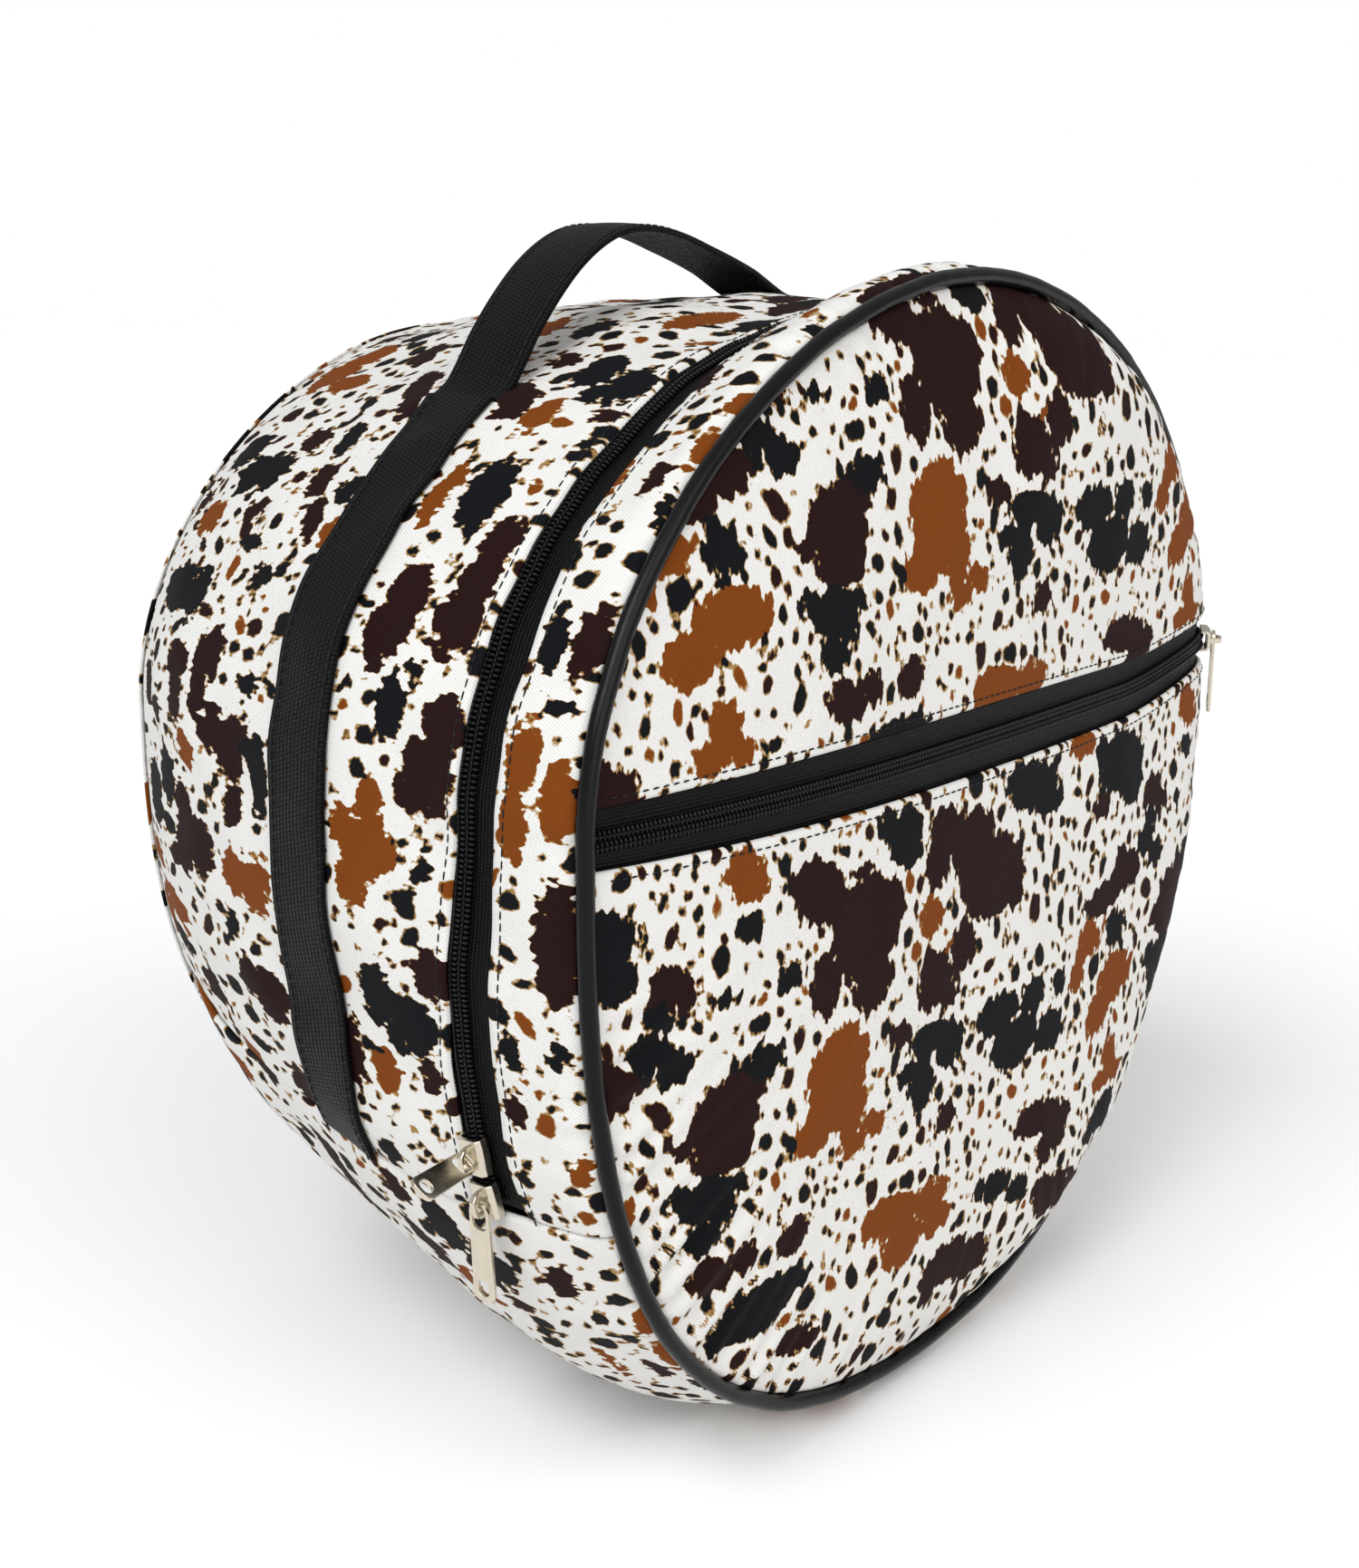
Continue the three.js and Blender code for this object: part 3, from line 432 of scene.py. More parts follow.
def wallFaces(rows, columns):
    at = np.arange(rows * columns).reshape(rows, columns)
    other = at + rows * columns
    outer = np.stack([at[:-1, :-1], at[:-1, 1:], at[1:, 1:], at[1:, :-1]], -1).reshape(-1, 4)
    inner = np.stack([other[:-1, :-1], other[1:, :-1], other[1:, 1:], other[:-1, 1:]], -1).reshape(-1, 4)
    left = np.stack([at[:-1, 0], at[1:, 0], other[1:, 0], other[:-1, 0]], -1)
    right = np.stack([at[1:, -1], at[:-1, -1], other[:-1, -1], other[1:, -1]], -1)
    first = np.stack([at[0, 1:], at[0, :-1], other[0, :-1], other[0, 1:]], -1)
    last = np.stack([at[-1, :-1], at[-1, 1:], other[-1, 1:], other[-1, :-1]], -1)
    return np.concatenate([outer, inner, left, right, first, last])


def wallMesh(name, outer, inner, uv, material, chart=None):
    rows, columns = outer.shape[:2]
    flatUv = np.asarray(uv, float).reshape(-1, 2)
    field = None
    if chart:
        field = np.tile(printField(flatUv, printing[chart]), (2, 1))
    points = np.concatenate([outer.reshape(-1, 3), inner.reshape(-1, 3)])
    return addMesh(name, points, wallFaces(rows, columns), material, np.tile(flatUv, (2, 1)), field)


def sweep(name, rings, material, uv=None, closed=False):
    rings = np.asarray(rings, float)
    count, size = rings.shape[:2]
    at = np.arange(count * size).reshape(count, size)
    if closed:
        at = np.vstack([at, at[:1]])
    around = np.roll(at, -1, axis=1)
    sides = np.stack([at[:-1], around[:-1], around[1:], at[1:]], -1).reshape(-1, 4)
    points = rings.reshape(-1, 3)
    if closed:
        return addMesh(name, points, sides, material, uv)
    points = np.vstack([points, rings[0].mean(0), rings[-1].mean(0)])
    first, last = count * size, count * size + 1
    caps = [(at[0, k], first, first, around[0, k]) for k in range(size)]
    caps += [(at[-1, k], around[-1, k], last, last) for k in range(size)]
    piece = addMesh(name, points, np.vstack([sides, caps]), material, np.vstack([uv, uv[:1], uv[-1:]]))
    work = bmesh.new()
    work.from_mesh(piece.data)
    bmesh.ops.dissolve_degenerate(work, dist=1e-7, edges=work.edges)
    work.to_mesh(piece.data)
    work.free()
    return piece


def settle(piece, body, slot, *nodes):  # ride, slot (not used) and the frame pieces that it stands for
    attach(piece, body)
    if nodes:
        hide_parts(*nodes)
    return piece


# materials
plain = {"detail": 4.0, "patch": 3, "range": (0.3, 0.7), "spread": 0.15, "specular": 0.16}
# light and glint set the painted glints: how much lighter the raised threads are painted, and over what weave
# height
weave = {
    "ribs": 0.6, "threads": 0.6, "specks": 1.6, "speckSize": 0.8, "light": 12, "glint": (0.1, 1.5),
    "roughness": 0.45, "specular": 0.1, "bump": 0.9,
}
finishes = {
    "piping vinyl": {"colour": (0.0035, 0.0035, 0.0035), "roughness": 0.3, "size": 1.2, "distance": 0.00005},
    "zip coil": {"colour": (0.0045, 0.0045, 0.005), "roughness": 0.26, "size": 0.8, "distance": 0.00003},
    "black thread": {"colour": (0.012, 0.012, 0.013), "roughness": 0.7, "size": 0.3, "distance": 0.00008},
    "worn nickel": {
        "colour": (0.66, 0.60, 0.49), "roughness": 0.27, "size": 2.5, "distance": 0.00002,
        "metallic": 1.0, "strength": 0.3, "mottle": 0.08,
    },
}


def newMaterial(name):
    material = bpy.data.materials.new(name)
    material.use_nodes = True
    tree = material.node_tree
    return material, tree, tree.nodes["Principled BSDF"]


def addNode(tree, kind, links=None, **settings):
    node = tree.nodes.new(kind)
    for key, value in settings.items():
        setattr(node, key, value)
    for key, value in (links or {}).items():
        socket = node.inputs[key]
        if isinstance(value, bpy.types.NodeSocket):
            tree.links.new(value, socket)
        else:
            socket.default_value = value
    return node


def calc(tree, operation, *values):
    return addNode(tree, "ShaderNodeMath", dict(enumerate(values)), operation=operation).outputs[0]


def blendColour(tree, factor, first, second):
    return addNode(tree, "ShaderNodeMix", {0: factor, 6: first, 7: second}, data_type="RGBA").outputs[2]


def ramp(tree, value, low, high, start=0.0, end=1.0):
    return addNode(tree, "ShaderNodeMapRange", {0: value, 1: low, 2: high, 3: start, 4: end}).outputs[0]


def clothAxes(tree):
    uv = addNode(tree, "ShaderNodeUVMap", uv_map="cloth").outputs[0]
    split = addNode(tree, "ShaderNodeSeparateXYZ", {0: uv})
    return uv, split.outputs[0], split.outputs[1]


def noiseAt(tree, vector, size, detail=2.0):
    node = addNode(tree, "ShaderNodeTexNoise", {"Vector": vector, "Scale": 1 / (size * mm), "Detail": detail})
    return node.outputs[0]


def dress(tree, shader, colour, height, strength, distance, specular):
    tree.links.new(colour, shader.inputs["Base Color"])
    bump = addNode(tree, "ShaderNodeBump", {"Height": height, "Strength": strength, "Distance": distance})
    tree.links.new(bump.outputs[0], shader.inputs["Normal"])
    shader.inputs["Specular IOR Level"].default_value = specular


def printedCloth(name, pitch, diagonal):
    material, tree, shader = newMaterial(name)
    uv, u, v = clothAxes(tree)
    field = addNode(tree, "ShaderNodeAttribute", attribute_name="printField")
    fur = addNode(tree, "ShaderNodeVectorMath", {0: uv, 1: cloth["fur"]}, operation="MULTIPLY").outputs[0]
    wander = 0
    for height, size in (cloth["ragged"], cloth["frayed"]):
        rough = calc(tree, "SUBTRACT", noiseAt(tree, fur, size, 1.0), 0.5)
        wander = calc(tree, "ADD", wander, calc(tree, "MULTIPLY", rough, height * 2))
    wander = calc(tree, "MULTIPLY", wander, field.outputs["Alpha"])
    split = addNode(tree, "ShaderNodeSeparateXYZ", {0: field.outputs["Vector"]})
    distances = []
    for index in range(len(hues)):
        raw = calc(tree, "MULTIPLY", calc(tree, "SUBTRACT", split.outputs[index], 0.5), 2 * printing["reach"])
        distances.append(calc(tree, "ADD", raw, wander))
    colour, edge, rimWidth = (cloth[key] for key in ("white", "edge", "rimWidth"))
    for distance in distances:
        rim = ramp(tree, distance, rimWidth + edge, rimWidth - edge)
        colour = blendColour(tree, rim, colour, cloth["rim"])
    for hue, distance in zip(hues, distances):
        colour = blendColour(tree, ramp(tree, distance, edge, -edge), colour, cloth[hue])
    wave = fullTurn / (pitch * mm)
    if diagonal:
        slant = calc(tree, "ADD", u, calc(tree, "MULTIPLY", v, cloth["slant"]))
        height = calc(tree, "SINE", calc(tree, "MULTIPLY", slant, wave))
    else:
        warp = calc(tree, "SINE", calc(tree, "MULTIPLY", u, wave))
        weft = calc(tree, "SINE", calc(tree, "MULTIPLY", v, wave * cloth["weft"]))
        height = calc(tree, "MULTIPLY", warp, weft)
    # painted shade and highlight: the weave height darkens and lightens the cloth colour, standing in for
    # light on the raised threads
    paintedWeaveShade = ramp(tree, height, -1.0, 1.0, *cloth["paintedWeaveShade"])
    paintedShadeVector = addNode(tree, "ShaderNodeCombineXYZ", {0: paintedWeaveShade, 1: paintedWeaveShade, 2: paintedWeaveShade}).outputs[0]
    colour = addNode(tree, "ShaderNodeVectorMath", {0: colour, 1: paintedShadeVector}, operation="MULTIPLY").outputs[0]
    creaseHeight, creaseSize = cloth["crease"]
    crease = calc(tree, "MULTIPLY", noiseAt(tree, uv, creaseSize, 3.0), creaseHeight)
    dress(tree, shader, colour, calc(tree, "ADD", height, crease), *cloth["bump"], cloth["specular"])
    shader.inputs["Roughness"].default_value = cloth["roughness"]
    return material


def plainMaterial(name, colour, roughness, size, distance, metallic=0.0, strength=0.4, mottle=0.15):
    material, tree, shader = newMaterial(name)
    place = addNode(tree, "ShaderNodeTexCoord").outputs["Object"]
    grain = noiseAt(tree, place, size, plain["detail"])
    shades = [tuple(min(c * share, 1) for c in colour) + (1,) for share in (1 - mottle, 1 + mottle)]
    patches = noiseAt(tree, place, size * plain["patch"])
    spread = roughness * plain["spread"]
    rough = ramp(tree, patches, *plain["range"], roughness - spread, roughness + spread)
    tree.links.new(rough, shader.inputs["Roughness"])
    shader.inputs["Metallic"].default_value = metallic
    dress(tree, shader, blendColour(tree, grain, *shades), grain, strength, distance, plain["specular"])
    return material


def wovenBlack(name, colour, ribPitch, threadPitch, distance):
    material, tree, shader = newMaterial(name)
    uv, u, v = clothAxes(tree)
    across = calc(tree, "DIVIDE", v, ribPitch * mm)
    step = calc(tree, "MULTIPLY", calc(tree, "ROUND", across), 0.5)
    along = calc(tree, "ADD", calc(tree, "DIVIDE", u, threadPitch * mm), step)
    layers = {
        "ribs": calc(tree, "COSINE", calc(tree, "MULTIPLY", across, fullTurn)),
        "threads": calc(tree, "SINE", calc(tree, "MULTIPLY", along, fullTurn)),
        "specks": calc(tree, "SUBTRACT", noiseAt(tree, uv, weave["speckSize"]), 0.5),
    }
    height = 0
    for key, layer in layers.items():
        height = calc(tree, "ADD", height, calc(tree, "MULTIPLY", layer, weave[key]))
    # painted glints: where the weave height is high, the colour is lifted towards a lighter copy, standing in
    # for highlights on the raised threads. The same height also drives the bump
    light = tuple(c * weave["light"] for c in colour)
    paintedGlintColour = blendColour(tree, ramp(tree, height, *weave["glint"]), (*colour, 1), (*light, 1))
    dress(tree, shader, paintedGlintColour, height, weave["bump"], distance, weave["specular"])
    shader.inputs["Roughness"].default_value = weave["roughness"]
    return material


frontCloth = printedCloth("printed cloth, front", 0.75, False)
sideCloth = printedCloth("printed cloth, sides", 0.85, True)
strapWeave = wovenBlack("strap webbing", (0.0014, 0.0014, 0.0015), 1.7, 1.25, 0.0003)
tapeWeave = wovenBlack("zip tape", (0.0012, 0.0012, 0.0013), 1.0, 0.9, 0.00014)
pipingVinyl, coilNylon, blackThread, nickel = (plainMaterial(name, **look) for name, look in finishes.items())
print("materials made")

# cloth of the sides, top, bottom and back
foldSteps = np.array((0, 0.4, 0.9, 1.6, 2.6))
folds = {
    "roll": 0.6, "soft": ((0.9, 85, 3), (0.35, 34, 4)), "pucker": (0.6, 10, 5),
    "puckerLine": 3, "puckerReach": 8,
    "puckerStretch": (1, 0.12), "underneath": (0.75, 0.95), "frontEase": (2, 14), "rearEase": 20,
    "seamReach": 3.5, "rearReach": 4, "span": 160,
}


def rolledEdge(inset, wall):  # how far a fold sinks, this far in from its edge
    inside = np.clip(1 - np.asarray(inset) / (wall * folds["roll"]), 0, 1)
    return wall / 2 * (1 - np.sqrt(np.clip(1 - inside ** 2, 0, 1)))


def clothLift(turn, depth):
    place = np.stack(np.broadcast_arrays(arcLength(turn), depth), -1)
    nearFront = np.exp(-np.abs(depth - folds["puckerLine"]) / folds["puckerReach"])
    pucker = nearFront * waves(place * folds["puckerStretch"], folds["pucker"])
    underneath = smooth(-np.cos(turn), *folds["underneath"])
    ease = smooth(depth, *folds["frontEase"]) * smooth(bag["depth"] - depth, 0, folds["rearEase"])
    return (waves(place, *folds["soft"]) * ease + pucker) * (1 - underneath)


def edgeSteps(first, last, step, fine=foldSteps):
    middle = np.linspace(first + fine[-1], last - fine[-1], max(int((last - first) / step), 3))[1:-1]
    return np.concatenate([first + fine, middle, last - fine[::-1]])


def clothStrip(name, node, turns, front, rear, steps, drops, printFrom=0):
    wall, half = bag["clothWall"], bag["clothWall"] / 2
    arcs = edgeSteps(*arcLength(rad(turns)), steps[0])
    table = rad(np.linspace(turns[0] - 1, turns[1] + 1, 1500))
    column = np.interp(arcs, arcLength(table), table)[:, None]
    rows = edgeSteps(0, 1, steps[1] / folds["span"], foldSteps / folds["span"])[None, :]
    low, high = front(column), rear(column)
    depths = low + (high - low) * rows
    across, along = column + 0 * depths, arcs[:, None] + 0 * depths
    toSeam = np.minimum(along - arcs[0], arcs[-1] - along)
    fold = rolledEdge(np.minimum(depths - low, high - depths), wall) + rolledEdge(toSeam, wall)
    sinks = np.exp(-toSeam / folds["seamReach"]), np.exp(-(high - depths) / folds["rearReach"])
    lift = clothLift(across, depths) - drops[0] * sinks[0] - drops[1] * sinks[1]
    roll = np.minimum(fold, half)
    outer = liftedSkin(across, depths, lift - roll)
    inner = liftedSkin(across, depths, lift - wall + roll)
    outer[..., 2] = np.maximum(outer[..., 2], floorOfBag)
    inner[..., 2] = np.maximum(inner[..., 2], floorOfBag + half)
    uv = np.stack([along + printFrom, -depths], -1)
    settle(wallMesh(name, outer, inner, uv, sideCloth, "side"), "bag", "printed_cloth", node)


def constant(value):
    return lambda turn: value + 0 * turn


def doorFold(turn):
    backwards = smooth(-turn, rad(bag["driftStart"]), rad(bag["driftEnd"]))
    forwards = smooth(-turn, rad(bag["returnStart"]), rad(bag["returnEnd"]))
    return bag["doorDepth"] + bag["zipDrift"] * backwards - bag["zipReturn"] * forwards


def rearFold(turn):
    room = bag["sliderRoom"] * smooth(-turn, rad(bag["roomStart"]), rad(bag["roomFull"]))
    return doorFold(turn) + bag["zipOpening"] + room


seam = bag["seamTurn"]
strips = {
    "door_gusset_cloth": {
        "node": "door_gusset", "turns": (-seam, seam), "front": constant(frontGap), "rear": doorFold,
        "steps": (1.85, 10), "drops": (0.8, 0),
    },
    "body_gusset_cloth": {
        "node": "body_gusset", "turns": (-seam, seam), "front": rearFold, "rear": constant(bag["depth"]),
        "steps": (1.85, 1.85), "drops": (0.8, 0.6),
    },
    "bottom_cloth": {
        "node": "bottom_panel", "turns": (seam + 0.1, 360 - seam - 0.1), "front": constant(frontGap),
        "rear": constant(bag["depth"]), "steps": (2.0, 2.0), "drops": (0.8, 0.6),
        "printFrom": -arcLength(arcTurns[-1]),
    },
}
for name, values in strips.items():
    clothStrip(name, **values)
print("side, top and bottom cloth made")

# front and back panels
panelSteps = np.array((0, 0.4, 0.9, 1.6))
padding = {
    "soft": ((0.7, 95, 22), (0.3, 38, 23)), "flatEdge": 6, "pucker": (1, 12, 21), "puckerFall": 9,
    "puckerRise": 60, "puckerDepth": 20, "across": (40, 130), "low": (20, 90), "even": 0.7, "gathered": 1.9,
    "share": 0.8, "rimFrom": 0.8, "atZip": 16, "calmAtZip": 12, "rollMost": 1.0,
    "columns": 225, "width": 340, "height": 150, "fill": 0.6,
}
panels = {
    "padded_front_upper": {
        "node": "front_panel_upper", "lip": bag["pocketUpperLip"], "corner": 45, "rows": 80,
        "printFrom": (-44, -151),
    },
    "padded_front_lower": {
        "node": "front_panel_lower", "lip": -bag["pocketLowerLip"], "corner": 140, "rows": 125,
        "printFrom": (0, 0),
    },
}
back = {
    "topCorner": 50, "lowCorner": 135, "steps": 136, "span": 260, "crown": 9, "fullness": 2.9, "rim": 1.2,
    "rimFrom": 0.9, "rollMost": 0.5, "waves": (0.8, 80, 31), "flatEdge": 5, "printFrom": 20,
}


def edgePoint(turn, step=0.009):
    radius = outlineRadius(turn)
    slope = (outlineRadius(turn + step) - outlineRadius(turn - step)) / (2 * step)
    radius = radius - edgeClear * np.hypot(1, slope / radius)
    return np.stack([radius * np.sin(turn), radius * np.cos(turn)], -1)


def panelShare(x, z):
    turn = np.arctan2(x, z)
    return turn, np.clip(np.hypot(x, z) / np.linalg.norm(edgePoint(turn), axis=-1), 0, 1)


def rimShape(column, degrees):
    rows = rimSections
    row = np.clip(np.searchsorted(rows[:, 0], degrees, side="left") - 1, 0, len(rows) - 2)
    first, second = rows[row], rows[row + 1]
    share = smooth(degrees, first[..., 0], second[..., 0])
    return first[..., column] + (second[..., column] - first[..., column]) * share


def crownDepth(x, z):
    turn, share = panelShare(x, z)
    degrees = np.degrees(turn)
    crown = bag["crown"] * (1 - share ** rimShape(1, degrees))
    roll = rimShape(2, degrees) * share ** bag["rollRise"] * (1 - share ** bag["rollFall"])
    return sagDepth(x, z) - crown - roll


def pocketHeight(x):
    return bag["pocketLine"] + bag["pocketClimb"] * smooth(x, bag["climbStart"], bag["climbEnd"])


def lipHeight(lip, x):
    return pocketHeight(x) + lip * (1 - bag["pocketLipTaper"] * (x / bag["halfWidth"]) ** 2)


def edgeTurnAt(height):
    turns = np.linspace(0, math.pi, 4000)
    return np.interp(-height, -edgePoint(turns)[:, 1], turns)


def lipTurns(lip):
    reach = bag["halfWidth"] - edgeClear
    return [edgeTurnAt(lipHeight(lip, side * reach)) for side in (-1, 1)]


def coonsGrid(bottom, top, left, right, us, vs):
    u, v = us[:, None, None], vs[None, :, None]
    b, t, l, r = bottom(us)[:, None], top(us)[:, None], left(vs)[None], right(vs)[None]
    sidesOnly = b * (1 - v) + t * v + l * (1 - u) + r * u
    low = b[:1] * (1 - u) + b[-1:] * u
    high = t[:1] * (1 - u) + t[-1:] * u
    grid = sidesOnly - low * (1 - v) - high * v
    return grid[..., 0], grid[..., 1]


def panelWaves(x, z):
    turn, share = panelShare(x, z)
    place = np.stack([x, z], -1)
    around = np.stack([arcLength(turn), padding["puckerDepth"] * share], -1)
    inward = 1 - share
    nearRim = np.exp(-inward * padding["puckerFall"]) * (1 - np.exp(-inward * padding["puckerRise"]))
    lowLeft = smooth(-x, *padding["across"]) * smooth(-z, *padding["low"])
    pucker = nearRim * (padding["even"] + padding["gathered"] * lowLeft) * waves(around, padding["pucker"])
    return waves(place, *padding["soft"]) * (1 - share ** padding["flatEdge"]) + pucker


def surfaceDepth(x, z, toZip):  # the outside of the padded front, calm beside the pocket zip
    return crownDepth(x, z) - panelWaves(x, z) * smooth(toZip, 0, padding["calmAtZip"]) * padding["share"]


def frontPanel(name, node, lip, corner, rows, printFrom):
    wall = bag["clothWall"]
    leftTurn, rightTurn = lipTurns(lip)
    leftEnd, rightEnd = edgePoint(-leftTurn)[0], edgePoint(rightTurn)[0]
    corner = rad(corner)
    far = corner if lip > 0 else corner - fullTurn

    def zipSide(us):
        x = leftEnd + (rightEnd - leftEnd) * us
        return np.stack([x, lipHeight(lip, x)], -1)

    x, z = coonsGrid(
        zipSide,
        lambda us: edgePoint(-corner + (far + corner) * us),
        lambda vs: edgePoint(-(leftTurn + (corner - leftTurn) * vs)),
        lambda vs: edgePoint(rightTurn + (corner - rightTurn) * vs),
        edgeSteps(0, 1, 1 / padding["columns"], panelSteps / padding["width"]),
        edgeSteps(0, 1, 1 / rows, panelSteps / padding["height"]))
    share = panelShare(x, z)[1]
    toZip, toRim = np.abs(z - lipHeight(lip, x)), (1 - share) * np.hypot(x, z)
    padded = bag["padWall"] + (pipingRadius - bag["padWall"]) * smooth(share, padding["rimFrom"], 1)
    thickness = wall + (padded - wall) * smooth(toZip, 0, padding["atZip"])
    roll = np.minimum(rolledEdge(toZip, wall) + rolledEdge(toRim, wall), padding["rollMost"])
    depth = surfaceDepth(x, z, toZip)
    outer = np.stack([x, depth + roll, z], -1)
    inner = np.stack([x, depth + thickness - roll, z], -1)
    uv = np.stack([x, z], -1) + printFrom
    piece = wallMesh(name, outer, inner, uv, frontCloth, "front")
    settle(piece, "bag", "printed_cloth", node)


def backPanel():
    wall, rimWall = bag["clothWall"], back["rim"]

    def rim(turns):
        return skin(turns, bag["depth"] + 0 * turns)[..., (0, 2)]

    a, b = rad(back["topCorner"]), rad(back["lowCorner"])
    steps = edgeSteps(0, 1, 1 / back["steps"], panelSteps / back["span"])
    x, z = coonsGrid(
        lambda us: rim(-b - (fullTurn - 2 * b) * us), lambda us: rim(-a + 2 * a * us),
        lambda vs: rim(-b + (b - a) * vs), lambda vs: rim(b - (b - a) * vs), steps, steps)
    share = np.clip(np.hypot(x, z) / np.linalg.norm(rim(np.arctan2(x, z)), axis=-1), 0, 1)
    dome = bag["depth"] + gap + back["crown"] * (1 - share ** back["fullness"])
    front = dome + waves(np.stack([x, z], -1), back["waves"]) * (1 - share ** back["flatEdge"])
    thickness = wall + (rimWall - wall) * smooth(share, back["rimFrom"], 1)
    roll = np.minimum(rolledEdge((1 - share) * np.hypot(x, z), rimWall), back["rollMost"])
    outer = np.stack([x, front + thickness - roll, z], -1)
    inner = np.stack([x, front + roll, z], -1)
    uv = np.stack([-x, z + back["printFrom"]], -1)
    settle(wallMesh("back_cloth", outer, inner, uv, sideCloth, "front"), "bag", "printed_cloth", "back_panel")


for name, values in panels.items():
    frontPanel(name, **values)
backPanel()
print("front and back panels made")

# piping
piping = {"steps": 300, "sides": 14, "uneven": (0.02, 12, 41), "wander": (0.12, 30, 42)}


def addPiping():
    x, z = outlinePoint(np.linspace(0, fullTurn, piping["steps"], endpoint=False))
    middle = np.stack([x, sagDepth(x, z), z], -1)
    run = np.roll(middle, -1, 0) - np.roll(middle, 1, 0)
    run /= np.linalg.norm(run, axis=1, keepdims=True)
    out = np.cross(run, (0, 1, 0))
    out *= np.sign((out * middle).sum(1, keepdims=True))
    angles = np.linspace(0, fullTurn, piping["sides"], endpoint=False)[None, :, None]
    size = pipingRadius * (1 + waves(middle, piping["uneven"]))[:, None, None]
    wander = waves(middle, piping["wander"])[:, None, None]
    rings = middle[:, None] + out[:, None] * (size * np.cos(angles) + wander)
    rings = rings + np.array((0, 1, 0)) * size * np.sin(angles)
    settle(sweep("front_piping_cord", rings, pipingVinyl, closed=True), "bag", "piping_vinyl", "front_piping")


addPiping()


# repeats along a path, with Geometry Nodes
def repeatTree():
    tree = bpy.data.node_groups.new("repeat along a path", "GeometryNodeTree")
    sockets = {"Path": "Geometry", "Spacing": "Float", "Shape": "Object", "Finish": "Material"}
    for name, kind in sockets.items():
        tree.interface.new_socket(name, in_out="INPUT", socket_type=f"NodeSocket{kind}")
    tree.interface.new_socket("Result", in_out="OUTPUT", socket_type="NodeSocketGeometry")
    source = addNode(tree, "NodeGroupInput").outputs
    curve = addNode(tree, "GeometryNodeMeshToCurve", {0: source["Path"]}).outputs[0]
    spaced = {"Curve": curve, "Length": source["Spacing"]}
    even = addNode(tree, "GeometryNodeResampleCurve", spaced, mode="LENGTH").outputs[0]
    up = addNode(tree, "GeometryNodeInputNamedAttribute", {"Name": "upward"}, data_type="FLOAT_VECTOR")
    along = addNode(tree, "GeometryNodeInputTangent")
    raised = addNode(tree, "FunctionNodeAlignRotationToVector", {"Vector": up.outputs[0]}, axis="Z")
    both = {"Rotation": raised.outputs[0], "Vector": along.outputs[0]}
    turned = addNode(tree, "FunctionNodeAlignRotationToVector", both, axis="X", pivot_axis="Z")
    shape = addNode(tree, "GeometryNodeObjectInfo", {"Object": source["Shape"], "As Instance": True})
    copies = addNode(tree, "GeometryNodeInstanceOnPoints", {
        "Points": even, "Instance": shape.outputs["Geometry"], "Rotation": turned.outputs[0]})
    real = addNode(tree, "GeometryNodeRealizeInstances", {0: copies.outputs[0]})
    finished = {"Geometry": real.outputs[0], "Material": source["Finish"]}
    finish = addNode(tree, "GeometryNodeSetMaterial", finished)
    tree.links.new(finish.outputs[0], addNode(tree, "NodeGroupOutput").inputs[0])
    return tree


pathTree = repeatTree()


def repeatAlong(name, paths, upwards, spacing, shape, material):
    mesh = bpy.data.meshes.new(name)
    edges, start = [], 0
    for path in paths:
        edges += [(start + k, start + k + 1) for k in range(len(path) - 1)]
        start += len(path)
    mesh.from_pydata(toRow(np.vstack(paths)).tolist(), edges, [])
    layer = mesh.attributes.new("upward", "FLOAT_VECTOR", "POINT")
    layer.data.foreach_set("vector", np.vstack(upwards).ravel())
    path = addObject(name + "_path", mesh)
    modifier = path.modifiers.new("repeat", "NODES")
    modifier.node_group = pathTree
    values = {"Spacing": spacing * mm, "Shape": shape, "Finish": material}
    for item in pathTree.interface.items_tree:
        if item.in_out == "INPUT" and item.name in values:
            modifier[item.identifier] = values[item.name]
    path.update_tag()
    result = finalMesh(path)
    result.name = name
    if not result.materials:
        result.materials.append(material)
    result.polygons.foreach_set("use_smooth", [True] * len(result.polygons))
    bpy.data.objects.remove(path)
    return addObject(name, result)


def barShape(name, length, radius, flatten=1.0, bend=0.0, facets=6):
    work = bmesh.new()
    bmesh.ops.create_uvsphere(work, u_segments=facets, v_segments=facets, radius=1)
    for vertex in work.verts:
        x, y, z = vertex.co
        stretch = math.copysign(abs(z) ** 0.5, z)
        vertex.co = Vector((stretch * length / 2, y * radius, x * radius * flatten - bend * z * z)) * mm
    bmesh.ops.recalc_face_normals(work, faces=work.faces)
    mesh = bpy.data.meshes.new(name)
    work.to_mesh(mesh)
    work.free()
    return bpy.data.objects.new(name, mesh)


# zips
zips = {
    "coilWidth": 5.5, "coilHeight": 2.2, "coilPitch": 1.45, "tapeSink": 1.5, "tapeWall": 1.2, "tapeBack": 0.9,
    "tuck": 1.2, "tapeWidths": 9, "mainSteps": 360, "turnReach": 130, "pocketSteps": 260, "pocketClear": 0.4,
    "clothShare": 0.6, "mainPrint": (13.8, -4), "pocketPrint": (18, -9),
}
tooth = {
    "beyond": 0.5, "radius": 0.52, "flatten": 1.5, "bend": 0.7, "rise": 1.15,
    "rowShare": 0.9, "rowRadius": 0.3, "rowRise": 2.05, "rowSide": 1.5,
}
tapeShares = np.linspace(0, 1, zips["tapeWidths"])


def coilLine(turn):
    return doorFold(turn) + bag["zipOpening"] - gap - zips["coilWidth"] / 2


def addTape(name, place, printed, along, node):
    width, start = zips[printed]
    uv = np.stack(np.broadcast_arrays(along[:, None], tapeShares[None, :] * width + start), -1)
    settle(wallMesh(name, place(0), place(-zips["tapeWall"]), uv, tapeWeave), "bag", "zip_tape", node)


